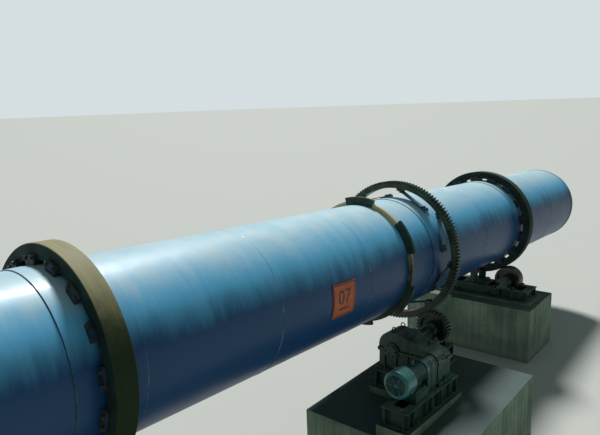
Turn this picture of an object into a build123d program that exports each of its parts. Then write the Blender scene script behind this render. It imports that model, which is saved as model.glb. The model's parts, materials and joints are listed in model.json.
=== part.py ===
"""Rotary drum dryer: sloping shell on two tyres, support rollers, girth gear drive and concrete piers.

Millimetres, +Z up. The origin is the middle of the discharge pier's foot, on the ground. +X points downhill
to the discharge end and +Y away from the drive. Places along the drum are measured on its axis from the
middle of the discharge tyre, downhill positive.
"""

import os
from math import acos, cos, degrees, pi, radians, sin, sqrt, tan

from build123d import *

# Drum
slope = 2.63
axis_height = 2700.0
shell_radius = 900.0
shell_wall = 12.0
tyre_span = 9700.0
overhang = 3840.0
course_extra = 12.0
tyre_course_length = 670.0
gear_course_length = 640.0
end_band_extra = 8.0
end_band_width = 90.0
seat = 0.3

# Tyres and their pads
pad_height = 53.0
tyre_depth = 145.0
tyre_width = 210.0
tyre_edge = 8.0
pad_count = 16
pad_first_angle = 14.5
pad_gap_width = 204.0
pad_lug_thickness = 32.0
pad_lug_rise = 42.0
pad_side_gap = 3.0

# Girth gear and pinion
gear_at = -3685.0
gear_module = 18.0
gear_space = 163.0
gear_rim_depth = 72.5
gear_face = 150.0
pinion_teeth = 30
pinion_face = 170.0
pinion_rim = 38.0
pinion_hub_radius = 110.0
pinion_recess = 36.0
pinion_angle = 32.5
pressure_angle = 20.0
backlash = 1.4
dedendum = 1.25

# Spring plates that carry the girth gear
spring_count = 8
spring_first_angle = 31.4
spring_thickness = 14.0
spring_width = 120.0
shoe_thickness = 12.0
shoe_ahead = 60.0
shoe_behind = 130.0
bracket_length = 115.0
bracket_face = 100.0

# Lug ring
lug_ring_at = -4775.0
lug_ring_height = 63.0
lug_ring_thickness = 50.0
lug_height = 126.0
lug_span = 30.0
lug_count = 6

# Lifting flights
flight_rows = 12
flight_height = 160.0
flight_lip = 70.0
flight_thickness = 10.0
flight_end_space = 620.0
flight_zone_gap = 140.0

# Sign plate
sign_at = -6435.0
sign_length = 470.0
sign_thickness = 3.0
sign_middle_angle = 93.0
sign_span = 28.0
sign_standoff = 8.0
sign_spacer = 24.0
sign_spacer_inset = 31.0

# Support rollers
roller_angle = 30.0
roller_radius = 270.0
roller_width = 250.0
roller_rim = 55.0
roller_hub_radius = 125.0
roller_recess = 50.0
shaft_radius = 75.0
journal_radius = 60.0
roll_gap = 0.3
journal_gap = 0.1

# Bearings
bearing_spacing = 520.0
bearing_width = 120.0
bearing_height = 160.0
bearing_body_radius = 105.0
bearing_body_spread = 178.0
bearing_foot_length = 300.0
bearing_foot_height = 45.0
bearing_cap_depth = 18.0
shoulder_gap = 10.0
shaft_end_gap = 5.0

# Roller base frames
frame_height = 200.0
frame_beam_width = 150.0
frame_flange = 16.0
frame_web = 12.0
frame_half_length = 1190.0
frame_tie_places = (-1115.0, -210.0, 210.0, 1115.0)

# Thrust rollers at the discharge tyre
thrust_radius = 130.0
thrust_height = 90.0
thrust_edge = 5.0
thrust_rise = 10.0
thrust_pin_radius = 45.0
thrust_housing_radius = 80.0
thrust_plate_thickness = 25.0
thrust_plate_width = 290.0

# Concrete
pier_length = 1440.0
pier_width = 2800.0
pier_top_width = 2560.0
plinth_length = 900.0
grout = 30.0
pedestal_front = -6160.0
pedestal_back = -3240.0
pedestal_far_side = -20.0
pedestal_near_side = -2300.0
pedestal_grout = 25.0
plinth_margin = 40.0

# Reducer
reducer_centres = 650.0
reducer_height = 320.0
reducer_middle = -4841.0
reducer_depth = 380.0
reducer_low_overhang = 215.0
reducer_high_overhang = 110.0
reducer_flange = 20.0
reducer_flange_reach = 22.0
reducer_foot = 36.0
reducer_foot_reach = 45.0
reducer_ribs = 5
reducer_rib = 18.0
cover_low_radius = 225.0
cover_rise = 60.0
cover_high_radius = 110.0
boss_low_radius = 125.0
boss_high_radius = 84.0
boss_reach = 30.0
cap_low_radius = 100.0
cap_high_radius = 66.0
cap_thickness = 16.0

# Drive frame
drive_frame_height = 260.0
drive_beam_width = 120.0
drive_flange = 18.0
drive_web = 12.0
drive_front = -6060.0
drive_back = -3400.0
drive_margin = 110.0
motor_beam_spread = 140.0
pinion_beam_spread = 200.0
stool_margin = 20.0

# Pinion line
pinion_bearing_offset = 185.0
pinion_bearing_width = 110.0
coupling_at = -4380.0
coupling_length = 250.0
coupling_radius = 150.0
coupling_flange_length = 90.0
coupling_hub_radius = 92.0
coupling_gap = 20.0

# Motor
motor_fan_end = -6014.0
motor_length = 660.0
motor_radius = 118.0
motor_height = 200.0
motor_fins = 28
motor_fin_height = 20.0
motor_fin_thickness = 5.0
motor_shield_length = 34.0
motor_shield_radius = 138.0
motor_foot_length = 300.0
motor_foot_width = 270.0
motor_foot_height = 24.0
motor_box_length = 150.0
motor_box_height = 110.0
motor_box_reach = 205.0
cowl_radius = 188.0
cowl_length = 230.0
cowl_fillet = 26.0
cowl_dish_radius = 138.0
cowl_dish_depth = 14.0
guard_radius = 112.0

# Derived values
slope_angle = radians(slope)
discharge_end = overhang
feed_end = -tyre_span - overhang
course_radius = shell_radius + course_extra
tyre_bore = course_radius + pad_height
tyre_radius = tyre_bore + tyre_depth
roller_distance = tyre_radius + roller_radius + roll_gap
roller_drop = roller_distance * cos(radians(roller_angle))
roller_side = roller_distance * sin(radians(roller_angle))
frame_top = -roller_drop - bearing_height
frame_bottom = frame_top - frame_height
gear_rim_inside = course_radius + gear_space
gear_teeth = round(2 * (gear_rim_inside + gear_rim_depth) / gear_module + 2 * dedendum)
gear_radius = gear_module * gear_teeth / 2
pinion_radius = gear_module * pinion_teeth / 2
mesh_distance = gear_radius + pinion_radius
pinion_drop = mesh_distance * cos(radians(pinion_angle))
pinion_side = mesh_distance * sin(radians(pinion_angle))
motor_side = pinion_side + reducer_centres
drive_top = -pinion_drop - reducer_height
drive_bottom = drive_top - drive_frame_height
drum_origin_x = -frame_bottom * sin(slope_angle)

downhill = Vector(cos(slope_angle), 0, -sin(slope_angle))
upward = Vector(sin(slope_angle), 0, cos(slope_angle))
drum_origin = Vector(drum_origin_x, 0, axis_height)
drum_axis = Axis(drum_origin, downhill)


def across(at, drop=0.0, side=0.0):
    """Plane square to the drum axis: its x points up, its y to the drive side, its z downhill."""
    centre = drum_origin + downhill * at - upward * drop - Vector(0, side, 0)
    return Plane(origin=centre, x_dir=upward, z_dir=downhill)


def lengthwise(side=0.0):
    """Plane through the drum axis: its x points downhill, its y up, its z to the drive side."""
    return Plane(origin=drum_origin + Vector(0, -side, 0), x_dir=downhill, z_dir=(0, -1, 0))


def level(drop, at=0.0):
    """Plane parallel to the axis, `drop` above it: its x points downhill, its y to the far side."""
    return Plane(origin=drum_origin + downhill * at + upward * drop, x_dir=downhill, z_dir=upward)


def ring_sector(inner, outer, middle, span):
    """Face between two arcs about the drum axis, `span` degrees long."""
    start = middle - span / 2
    with BuildLine() as outline:
        low = CenterArc((0, 0), inner, start, span)
        high = CenterArc((0, 0), outer, start, span)
        Line(low @ 0, high @ 0)
        Line(low @ 1, high @ 1)
    make_face(outline.line)


def involute(angle):
    return tan(angle) - angle


def gear_points(teeth, radii, first_angle):
    """Corner points of an involute gear; `radii` run from the root to the tip of a tooth."""
    pitch = gear_module * teeth / 2
    base = pitch * cos(radians(pressure_angle))
    half_tooth = pi / (2 * teeth) - backlash / (4 * pitch)

    def half_angle(radius):
        rolled = acos(min(1.0, base / radius))
        return half_tooth + involute(radians(pressure_angle)) - involute(rolled)

    flank = [(radius, half_angle(radius)) for radius in radii]
    points = []
    for tooth in range(teeth):
        middle = radians(first_angle) + 2 * pi * tooth / teeth
        for radius, half in flank:
            points.append((radius * cos(middle - half), radius * sin(middle - half)))
        for radius, half in reversed(flank):
            points.append((radius * cos(middle + half), radius * sin(middle + half)))
    return points


def i_section(height, width, flange, web, rotation=0.0):
    """I-beam outline that stands on the middle of its foot, its height along y, or along x at -90."""
    with BuildSketch(mode=Mode.PRIVATE) as outline:
        with Locations((0, height / 2)):
            Rectangle(width, height)
            Rectangle(width, height - 2 * flange, mode=Mode.SUBTRACT)
            Rectangle(web, height)
    add(outline.sketch, rotation=rotation)


def save(part, name):
    part.label = name
    export_step(part, f"parts/{name}.step")


os.makedirs("parts", exist_ok=True)

# Drum shell: plain tube with heavier courses under the tyres and the gear, and a band at each end
with BuildPart() as drum_shell:
    with BuildSketch(across(feed_end)):
        Circle(shell_radius)
    extrude(amount=discharge_end - feed_end)
    raised_stretches = (
        (-tyre_span - tyre_course_length / 2, tyre_course_length, course_extra),
        (-tyre_course_length / 2, tyre_course_length, course_extra),
        (gear_at - gear_course_length / 2, gear_course_length, course_extra),
        (feed_end, end_band_width, end_band_extra),
        (discharge_end - end_band_width, end_band_width, end_band_extra),
    )
    for stretch_start, stretch_length, extra in raised_stretches:
        with BuildSketch(across(stretch_start)):
            Circle(shell_radius + extra)
        extrude(amount=stretch_length)
    with BuildSketch(across(feed_end)):
        Circle(shell_radius - shell_wall)
    extrude(amount=discharge_end - feed_end, mode=Mode.SUBTRACT)
save(drum_shell.part, "drum_shell")


# Tyres, each a plain rolled ring with eased edges
def tyre(at):
    with BuildPart() as ring:
        with BuildSketch(across(at - tyre_width / 2)):
            Circle(tyre_radius)
            Circle(tyre_bore, mode=Mode.SUBTRACT)
        extrude(amount=tyre_width)
        chamfer(ring.edges().filter_by(GeomType.CIRCLE).group_by(SortBy.RADIUS)[-1], tyre_edge)
    return ring.part


# Pads under a tyre: saddles with a lug at each side that keeps the tyre in place
def tyre_pads(at):
    inner = course_radius + seat
    lug_inside = tyre_width / 2 + pad_side_gap
    pad_length = 2 * (lug_inside + pad_lug_thickness)
    first_gap = pad_first_angle + 180 / pad_count
    with BuildPart() as pads:
        with BuildSketch(across(at - pad_length / 2)):
            Circle(tyre_bore + pad_lug_rise)
            Circle(inner, mode=Mode.SUBTRACT)
        extrude(amount=pad_length)
        with BuildSketch(across(at - lug_inside)):
            Circle(tyre_bore + 2 * pad_lug_rise)
            Circle(tyre_bore - seat, mode=Mode.SUBTRACT)
        extrude(amount=2 * lug_inside, mode=Mode.SUBTRACT)
        with BuildSketch(across(at - pad_length / 2)):
            with PolarLocations((inner + tyre_bore) / 2, pad_count, start_angle=first_gap):
                Rectangle(tyre_bore - inner + 3 * pad_lug_rise, pad_gap_width)
        extrude(amount=pad_length, mode=Mode.SUBTRACT)
    return pads.part


for tyre_name, tyre_at in (("feed", -tyre_span), ("discharge", 0.0)):
    save(tyre(tyre_at), f"tyre_{tyre_name}")
    save(tyre_pads(tyre_at), f"tyre_pads_{tyre_name}")

# Spring plates lie square to a shoe on the shell and run straight out to the gear's brackets
shoe_top = course_radius + seat + shoe_thickness
plate_inside = shoe_top + seat
plate_outside = plate_inside + spring_thickness
plate_reach = sqrt((gear_rim_inside - seat) ** 2 - plate_outside**2)
bracket_outside = gear_rim_inside + gear_module

with BuildPart() as gear_shoes:
    with BuildSketch(across(gear_at - spring_width / 2)):
        with PolarLocations(0, spring_count, start_angle=spring_first_angle):
            with Locations((shoe_top / 2, (shoe_behind - shoe_ahead) / 2)):
                Rectangle(shoe_top, shoe_ahead + shoe_behind)
        Circle(course_radius + seat, mode=Mode.SUBTRACT)
    extrude(amount=spring_width)
save(gear_shoes.part, "gear_shoes")

with BuildPart() as gear_spring_plates:
    with BuildSketch(across(gear_at - spring_width / 2)):
        with PolarLocations(0, spring_count, start_angle=spring_first_angle):
            with Locations((plate_inside, shoe_behind)):
                Rectangle(
                    spring_thickness,
                    plate_reach + shoe_behind,
                    align=(Align.MIN, Align.MAX),
                )
    extrude(amount=spring_width)
save(gear_spring_plates.part, "gear_spring_plates")

# Girth gear with the brackets that its spring plates are bolted to
gear_root = gear_radius - dedendum * gear_module
gear_tip = gear_radius + gear_module
with BuildPart() as girth_gear:
    with BuildSketch(across(gear_at - gear_face / 2)):
        with BuildLine():
            Polyline(*gear_points(gear_teeth, (gear_root, gear_radius, gear_tip), 180 - pinion_angle), close=True)
        make_face()
        Circle(gear_rim_inside, mode=Mode.SUBTRACT)
    extrude(amount=gear_face)
    with BuildSketch(across(gear_at - bracket_face / 2)):
        with PolarLocations(0, spring_count, start_angle=spring_first_angle):
            with Locations((plate_outside + seat, bracket_length - plate_reach)):
                Rectangle(gear_radius, bracket_length, align=(Align.MIN, Align.MAX))
        Circle(bracket_outside, mode=Mode.INTERSECT)
    extrude(amount=bracket_face)
save(girth_gear.part, "girth_gear")

# Lug ring: a narrow ring on the shell with six raised segments
with BuildPart() as lug_ring:
    with BuildSketch(across(lug_ring_at - lug_ring_thickness / 2)):
        Circle(shell_radius + lug_ring_height)
        for lug in range(lug_count):
            ring_sector(shell_radius, shell_radius + lug_height, 360 * lug / lug_count, lug_span)
        Circle(shell_radius + seat, mode=Mode.SUBTRACT)
    extrude(amount=lug_ring_thickness)
save(lug_ring.part, "lug_ring")

# Lifting flights: three zones of rows inside the shell, each zone turned by half a pitch
flight_root = shell_radius - shell_wall - seat
flight_zone_length = (discharge_end - feed_end - 2 * flight_end_space - 2 * flight_zone_gap) / 3
for zone, zone_name in enumerate(("feed", "middle", "discharge")):
    zone_start = feed_end + flight_end_space + zone * (flight_zone_length + flight_zone_gap)
    with BuildPart() as flights:
        with BuildSketch(across(zone_start)):
            with PolarLocations(0, flight_rows, start_angle=180 * (zone % 2) / flight_rows):
                with Locations((flight_root, 0)):
                    Rectangle(flight_height, flight_thickness, align=(Align.MAX, Align.CENTER))
                with Locations((flight_root - flight_height, -flight_thickness / 2)):
                    Rectangle(flight_thickness, flight_lip, align=(Align.MIN, Align.MIN))
        extrude(amount=flight_zone_length)
    save(flights.part, f"flights_{zone_name}")

# Sign plate, rolled to the shell's curve and held off it by four spacers
sign_inside = shell_radius + sign_standoff
spacer_reach = sign_length / 2 - sign_spacer_inset
spacer_turn = sign_span / 2 - degrees(sign_spacer_inset / sign_inside)
spacer_span = degrees(sign_spacer / sign_inside)
spacer_outside = sign_inside + sign_thickness / 2
with BuildPart() as sign_plate:
    with BuildSketch(across(sign_at - sign_length / 2)):
        ring_sector(sign_inside, sign_inside + sign_thickness, sign_middle_angle, sign_span)
    extrude(amount=sign_length)
    for spacer_at in (sign_at - spacer_reach, sign_at + spacer_reach):
        with BuildSketch(across(spacer_at - sign_spacer / 2)):
            for turn in (-spacer_turn, spacer_turn):
                ring_sector(shell_radius + seat, spacer_outside, sign_middle_angle + turn, spacer_span)
        extrude(amount=sign_spacer)
save(sign_plate.part, "sign_plate")


# Support roller with recessed sides, its stepped shaft and the two bearings
def roller(at, side):
    with BuildPart() as wheel:
        with BuildSketch(across(at - roller_width / 2, roller_drop, side)):
            Circle(roller_radius)
            Circle(shaft_radius + seat, mode=Mode.SUBTRACT)
        extrude(amount=roller_width)
        chamfer(wheel.edges().filter_by(GeomType.CIRCLE).group_by(SortBy.RADIUS)[-1], tyre_edge)
        for face_at, depth in ((at - roller_width / 2, roller_recess), (at + roller_width / 2, -roller_recess)):
            with BuildSketch(across(face_at, roller_drop, side)):
                Circle(roller_radius - roller_rim)
                Circle(roller_hub_radius, mode=Mode.SUBTRACT)
            extrude(amount=depth, mode=Mode.SUBTRACT)
    return wheel.part


def roller_shaft(at, side):
    half = bearing_spacing / 2
    body_half = half - bearing_width / 2 - shoulder_gap
    journal_half = half + bearing_width / 2 - bearing_cap_depth - shaft_end_gap
    with BuildPart() as shaft:
        for radius, reach in ((shaft_radius, body_half), (journal_radius, journal_half)):
            with BuildSketch(across(at - reach, roller_drop, side)):
                Circle(radius)
            extrude(amount=2 * reach)
    return shaft.part


def bearing(centre, drop, side, width, blind):
    """Pillow block about a shaft at (-drop, side); `blind` is +1 or -1 for the closed end, 0 for none."""
    with BuildPart() as block:
        with BuildSketch(across(centre - width / 2, drop, side)):
            Circle(bearing_body_radius)
            with Locations((seat - bearing_height, 0)):
                Rectangle(bearing_foot_height, bearing_foot_length, align=(Align.MIN, Align.CENTER))
                Rectangle(bearing_height, bearing_body_spread, align=(Align.MIN, Align.CENTER))
        extrude(amount=width)
        bore_start = centre - width / 2
        if blind < 0:
            bore_start += bearing_cap_depth
        with BuildSketch(across(bore_start, drop, side)):
            Circle(journal_radius + journal_gap)
        extrude(amount=width - bearing_cap_depth * abs(blind), mode=Mode.SUBTRACT)
    return block.part


def roller_frame(at):
    """Two I-beams across the drum under the bearings, joined by ties."""
    with BuildPart() as frame:
        for offset in (-bearing_spacing / 2, bearing_spacing / 2):
            with BuildSketch(lengthwise()):
                with Locations((at + offset, frame_bottom)):
                    i_section(frame_height, frame_beam_width, frame_flange, frame_web)
            extrude(amount=frame_half_length, both=True)
        for place in frame_tie_places:
            with BuildSketch(across(at - bearing_spacing / 2, -frame_bottom, place)):
                i_section(frame_height, frame_beam_width, frame_flange, frame_web, rotation=-90)
            extrude(amount=bearing_spacing)
    return frame.part


for station, station_at in (("feed", -tyre_span), ("discharge", 0.0)):
    blocks = []
    for side_name, side in (("near", roller_side), ("far", -roller_side)):
        save(roller(station_at, side), f"roller_{station}_{side_name}")
        save(roller_shaft(station_at, side), f"roller_shaft_{station}_{side_name}")
        for end in (-1, 1):
            blocks.append(bearing(station_at + end * bearing_spacing / 2, roller_drop, side, bearing_width, end))
    save(Compound(children=blocks), f"bearings_{station}")
    save(roller_frame(station_at), f"roller_frame_{station}")

# Thrust rollers stand on upright pins, one on each side of the discharge tyre
thrust_offset = tyre_width / 2 + roll_gap + thrust_radius
thrust_bottom = thrust_rise - tyre_radius
thrust_floor = frame_top + thrust_plate_thickness
for thrust_name, thrust_at in (("uphill", -thrust_offset), ("downhill", thrust_offset)):
    with BuildPart() as thrust_roller:
        with BuildSketch(level(thrust_bottom, thrust_at)):
            Circle(thrust_radius)
        extrude(amount=thrust_height)
        chamfer(thrust_roller.edges().filter_by(GeomType.CIRCLE), thrust_edge)
        with BuildSketch(level(thrust_bottom, thrust_at)):
            Circle(thrust_pin_radius)
        extrude(amount=thrust_floor + shoulder_gap - thrust_bottom)
    save(thrust_roller.part, f"thrust_roller_{thrust_name}")

with BuildPart() as thrust_bracket:
    with BuildSketch(level(frame_top + seat)):
        Rectangle(2 * thrust_offset + 3 * thrust_housing_radius, thrust_plate_width)
    extrude(amount=thrust_plate_thickness)
    with BuildSketch(level(thrust_floor)):
        with Locations((-thrust_offset, 0), (thrust_offset, 0)):
            Circle(thrust_housing_radius)
    extrude(amount=thrust_bottom - shoulder_gap - thrust_floor)
    with BuildSketch(level(thrust_floor)):
        with Locations((-thrust_offset, 0), (thrust_offset, 0)):
            Circle(thrust_pin_radius + journal_gap)
    extrude(amount=thrust_bottom - frame_top, mode=Mode.SUBTRACT)
save(thrust_bracket.part, "thrust_bracket")


# Concrete: level block with sloping plinths that carry the steelwork
def concrete(block_sides, height, plinths, drop):
    """Sides are (uphill, downhill, near, far): X and Y for the block, places on the axis and Y for a plinth."""
    front, back, near, far = block_sides
    sunk = height / 2 - axis_height
    with BuildPart() as block:
        with BuildSketch(Plane.XY):
            with Locations(((front + back) / 2, (near + far) / 2)):
                Rectangle(back - front, far - near)
        extrude(amount=height)
        for plinth_front, plinth_back, plinth_near, plinth_far in plinths:
            with BuildSketch(lengthwise(-plinth_far)):
                with Locations(((plinth_front + plinth_back) / 2, drop - seat)):
                    Rectangle(plinth_back - plinth_front, drop - seat - sunk, align=(Align.CENTER, Align.MAX))
            extrude(amount=plinth_far - plinth_near)
    return block.part


for station, station_at in (("feed", -tyre_span), ("discharge", 0.0)):
    foot_centre = drum_origin + downhill * station_at + upward * frame_bottom
    pier_sides = (foot_centre.X - pier_length / 2, foot_centre.X + pier_length / 2, -pier_width / 2, pier_width / 2)
    plinth_sides = (
        station_at - plinth_length / 2,
        station_at + plinth_length / 2,
        -pier_top_width / 2,
        pier_top_width / 2,
    )
    save(concrete(pier_sides, foot_centre.Z - grout, (plinth_sides,), frame_bottom), f"pier_{station}")

# Drive frame: a wide part under the reducer and the pinion, and a narrow one under the motor
reducer_front = reducer_middle - reducer_depth / 2 - drive_margin
reducer_back = reducer_middle + reducer_depth / 2 + drive_margin
pinion_beams = (pinion_side - pinion_beam_spread, pinion_side + pinion_beam_spread)
motor_beams = (motor_side - motor_beam_spread, motor_side + motor_beam_spread)
half_beam = drive_beam_width / 2
bearing_seat = -pinion_drop - bearing_height
motor_seat = -pinion_drop - motor_height
motor_foot_at = motor_fan_end + cowl_length + (motor_length - cowl_length) / 2
with BuildPart() as drive_frame:
    for beam_front, beam_back, sides in (
        (drive_front, reducer_back, motor_beams),
        (reducer_front, drive_back, pinion_beams),
    ):
        for side in sides:
            with BuildSketch(across(beam_front, -drive_bottom, side)):
                i_section(drive_frame_height, drive_beam_width, drive_flange, drive_web, rotation=-90)
            extrude(amount=beam_back - beam_front)
    for place, inner_side, outer_side in (
        (drive_front + half_beam, *motor_beams),
        (motor_fan_end + motor_length, *motor_beams),
        (reducer_front + half_beam, pinion_beams[0], motor_beams[1]),
        (reducer_back - half_beam, pinion_beams[0], motor_beams[1]),
        (gear_at - pinion_bearing_offset, *pinion_beams),
        (drive_back - half_beam, *pinion_beams),
    ):
        with BuildSketch(lengthwise(inner_side - half_beam)):
            with Locations((place, drive_bottom)):
                i_section(drive_frame_height, drive_beam_width, drive_flange, drive_web)
        extrude(amount=outer_side - inner_side + drive_beam_width)
    with BuildSketch(level(drive_top)):
        for offset in (-pinion_bearing_offset, pinion_bearing_offset):
            with Locations((gear_at + offset, -pinion_side)):
                Rectangle(pinion_bearing_width + 2 * stool_margin, bearing_foot_length + 2 * stool_margin)
    extrude(amount=bearing_seat - drive_top)
    with BuildSketch(level(drive_top)):
        with Locations((motor_foot_at, -motor_side)):
            Rectangle(motor_foot_length + 2 * stool_margin, motor_foot_width + 2 * stool_margin)
    extrude(amount=motor_seat - drive_top)
save(drive_frame.part, "drive_frame")

# Drive pedestal, its top just under the downhill end of the frame
pedestal_top = (drum_origin + downhill * drive_back + upward * drive_bottom).Z - pedestal_grout
pedestal_sides = (pedestal_front, pedestal_back, pedestal_near_side, pedestal_far_side)
plinth_reach = half_beam + plinth_margin
drive_plinths = (
    (
        drive_front - plinth_margin,
        reducer_back + plinth_margin,
        -motor_beams[1] - plinth_reach,
        -motor_beams[0] + plinth_reach,
    ),
    (
        reducer_front - plinth_margin,
        drive_back + plinth_margin,
        -pinion_beams[1] - plinth_reach,
        -pinion_beams[0] + plinth_reach,
    ),
)
save(concrete(pedestal_sides, pedestal_top, drive_plinths, drive_bottom), "drive_pedestal")

# Reducer: ribbed lower case, and a cover that falls from the slow wheel to the fast one
case_sides = (pinion_side - reducer_low_overhang, motor_side + reducer_high_overhang)
case_middle = sum(case_sides) / 2
case_length = case_sides[1] - case_sides[0]
case_face = reducer_middle - reducer_depth / 2
boss_start = case_face - boss_reach
boss_length = reducer_depth + 2 * boss_reach
with BuildPart() as reducer_case:
    with BuildSketch(across(case_face)):
        with Locations((drive_top + seat, case_middle)):
            Rectangle(reducer_height - 2 * seat, case_length, align=(Align.MIN, Align.CENTER))
    extrude(amount=reducer_depth)
    with BuildSketch(across(case_face - reducer_flange_reach)):
        with Locations((-pinion_drop - seat, case_middle)):
            Rectangle(reducer_flange, case_length + 2 * reducer_flange_reach, align=(Align.MAX, Align.CENTER))
        rib_pitch = case_length / reducer_ribs
        with Locations((drive_top + seat, case_middle)):
            with GridLocations(0, rib_pitch, 1, reducer_ribs):
                Rectangle(reducer_height - 2 * seat, reducer_rib, align=(Align.MIN, Align.CENTER))
    extrude(amount=reducer_depth + 2 * reducer_flange_reach)
    with BuildSketch(level(drive_top + seat, reducer_middle)):
        with Locations((0, -case_middle)):
            Rectangle(reducer_depth + 2 * reducer_foot_reach, case_length + 2 * reducer_foot_reach)
    extrude(amount=reducer_foot)
    with BuildSketch(across(boss_start, pinion_drop)):
        with Locations((0, pinion_side)):
            Circle(boss_low_radius)
        with Locations((0, motor_side)):
            Circle(boss_high_radius)
        with Locations((-seat, case_middle)):
            Rectangle(reducer_height, 2 * case_length, align=(Align.MIN, Align.CENTER), mode=Mode.SUBTRACT)
    extrude(amount=boss_length)
save(reducer_case.part, "reducer_case")

with BuildPart() as reducer_cover:
    with BuildSketch(across(case_face, pinion_drop)):
        with Locations((cover_rise, pinion_side)):
            Circle(cover_low_radius)
        with Locations((0, motor_side)):
            Circle(cover_high_radius)
        make_hull()
        with Locations((0, case_middle)):
            Rectangle(reducer_height, 2 * case_length, align=(Align.MAX, Align.CENTER), mode=Mode.SUBTRACT)
    extrude(amount=reducer_depth)
    with BuildSketch(across(case_face - reducer_flange_reach, pinion_drop)):
        with Locations((0, case_middle)):
            Rectangle(reducer_flange, case_length + 2 * reducer_flange_reach, align=(Align.MIN, Align.CENTER))
    extrude(amount=reducer_depth + 2 * reducer_flange_reach)
    with BuildSketch(across(boss_start, pinion_drop)):
        with Locations((0, pinion_side)):
            Circle(boss_low_radius)
        with Locations((0, motor_side)):
            Circle(boss_high_radius)
        with Locations((0, case_middle)):
            Rectangle(reducer_height, 2 * case_length, align=(Align.MAX, Align.CENTER), mode=Mode.SUBTRACT)
    extrude(amount=boss_length)
save(reducer_cover.part, "reducer_cover")

# Reducer caps close the shaft bosses; the slow shaft leaves through the downhill one
caps = []
for cap_side, cap_radius in ((pinion_side, cap_low_radius), (motor_side, cap_high_radius)):
    for cap_start in (boss_start - seat - cap_thickness, boss_start + boss_length + seat):
        with BuildPart() as cap:
            with BuildSketch(across(cap_start, pinion_drop, cap_side)):
                Circle(cap_radius)
                if cap_side == pinion_side and cap_start > reducer_middle:
                    Circle(journal_radius + journal_gap, mode=Mode.SUBTRACT)
            extrude(amount=cap_thickness)
        caps.append(cap.part)
save(Compound(children=caps), "reducer_caps")

# Motor: finned body with feet, end shield and terminal box
motor_body_start = motor_fan_end + cowl_length
motor_body_length = motor_length - cowl_length
with BuildPart() as motor:
    with BuildSketch(across(motor_body_start, pinion_drop, motor_side)):
        Circle(motor_radius)
    extrude(amount=motor_body_length)
    with BuildSketch(across(motor_body_start, pinion_drop, motor_side)):
        with PolarLocations(motor_radius, motor_fins):
            Rectangle(2 * motor_fin_height, motor_fin_thickness)
    extrude(amount=motor_body_length - motor_shield_length)
    with BuildSketch(across(motor_fan_end + motor_length, pinion_drop, motor_side)):
        Circle(motor_shield_radius)
    extrude(amount=-motor_shield_length)
    with BuildSketch(level(motor_seat + seat, motor_foot_at)):
        with Locations((0, -motor_side)):
            Rectangle(motor_foot_length, motor_foot_width)
    extrude(amount=motor_foot_height)
    with BuildSketch(level(motor_seat + seat, motor_foot_at)):
        with Locations((0, -motor_side)):
            Rectangle(motor_foot_length, motor_radius)
    extrude(amount=motor_height - motor_radius / 2)
    with BuildSketch(lengthwise(motor_side)):
        with Locations((motor_foot_at, -pinion_drop)):
            Rectangle(motor_box_length, motor_box_height)
    extrude(amount=-motor_box_reach)
save(motor.part, "motor")

# Fan cowl with a dished end
with BuildPart() as fan_cowl:
    with BuildSketch(across(motor_fan_end, pinion_drop, motor_side)):
        Circle(cowl_radius)
    extrude(amount=cowl_length - seat)
    fillet(fan_cowl.faces().sort_by(drum_axis)[0].edges(), cowl_fillet)
    with BuildSketch(across(motor_fan_end, pinion_drop, motor_side)):
        Circle(cowl_dish_radius)
    extrude(amount=cowl_dish_depth, mode=Mode.SUBTRACT)
save(fan_cowl.part, "fan_cowl")

# Guard over the high speed coupling, from the motor to the reducer's cap
guard_start = motor_fan_end + motor_length + seat
guard_end = boss_start - cap_thickness - 2 * seat
with BuildPart() as coupling_guard:
    with BuildSketch(across(guard_start, pinion_drop, motor_side)):
        Circle(guard_radius)
        with Locations((seat - reducer_height, 0)):
            Rectangle(reducer_height, 2 * guard_radius, align=(Align.MIN, Align.CENTER))
    extrude(amount=guard_end - guard_start)
save(coupling_guard.part, "coupling_guard")

# Pinion with recessed sides, its shaft in two bearings and the low speed coupling
pinion_root = pinion_radius - dedendum * gear_module
pinion_tip = pinion_radius + gear_module
base_radius = pinion_radius * cos(radians(pressure_angle))
pinion_steps = (pinion_root, base_radius, pinion_radius, (pinion_radius + pinion_tip) / 2, pinion_tip)
pinion_first_angle = 180 / pinion_teeth - pinion_angle
with BuildPart() as pinion:
    with BuildSketch(across(gear_at - pinion_face / 2, pinion_drop, pinion_side)):
        with BuildLine():
            Polyline(*gear_points(pinion_teeth, pinion_steps, pinion_first_angle), close=True)
        make_face()
        Circle(journal_radius + seat, mode=Mode.SUBTRACT)
    extrude(amount=pinion_face)
    for face_at, depth in ((gear_at - pinion_face / 2, pinion_recess), (gear_at + pinion_face / 2, -pinion_recess)):
        with BuildSketch(across(face_at, pinion_drop, pinion_side)):
            Circle(pinion_root - pinion_rim)
            Circle(pinion_hub_radius, mode=Mode.SUBTRACT)
        extrude(amount=depth, mode=Mode.SUBTRACT)
save(pinion.part, "pinion")

pinion_shaft_end = gear_at + pinion_bearing_offset + pinion_bearing_width / 2 - bearing_cap_depth - shaft_end_gap
with BuildPart() as pinion_shaft:
    with BuildSketch(across(coupling_at, pinion_drop, pinion_side)):
        Circle(journal_radius)
    extrude(amount=pinion_shaft_end - coupling_at)
save(pinion_shaft.part, "pinion_shaft")

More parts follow.
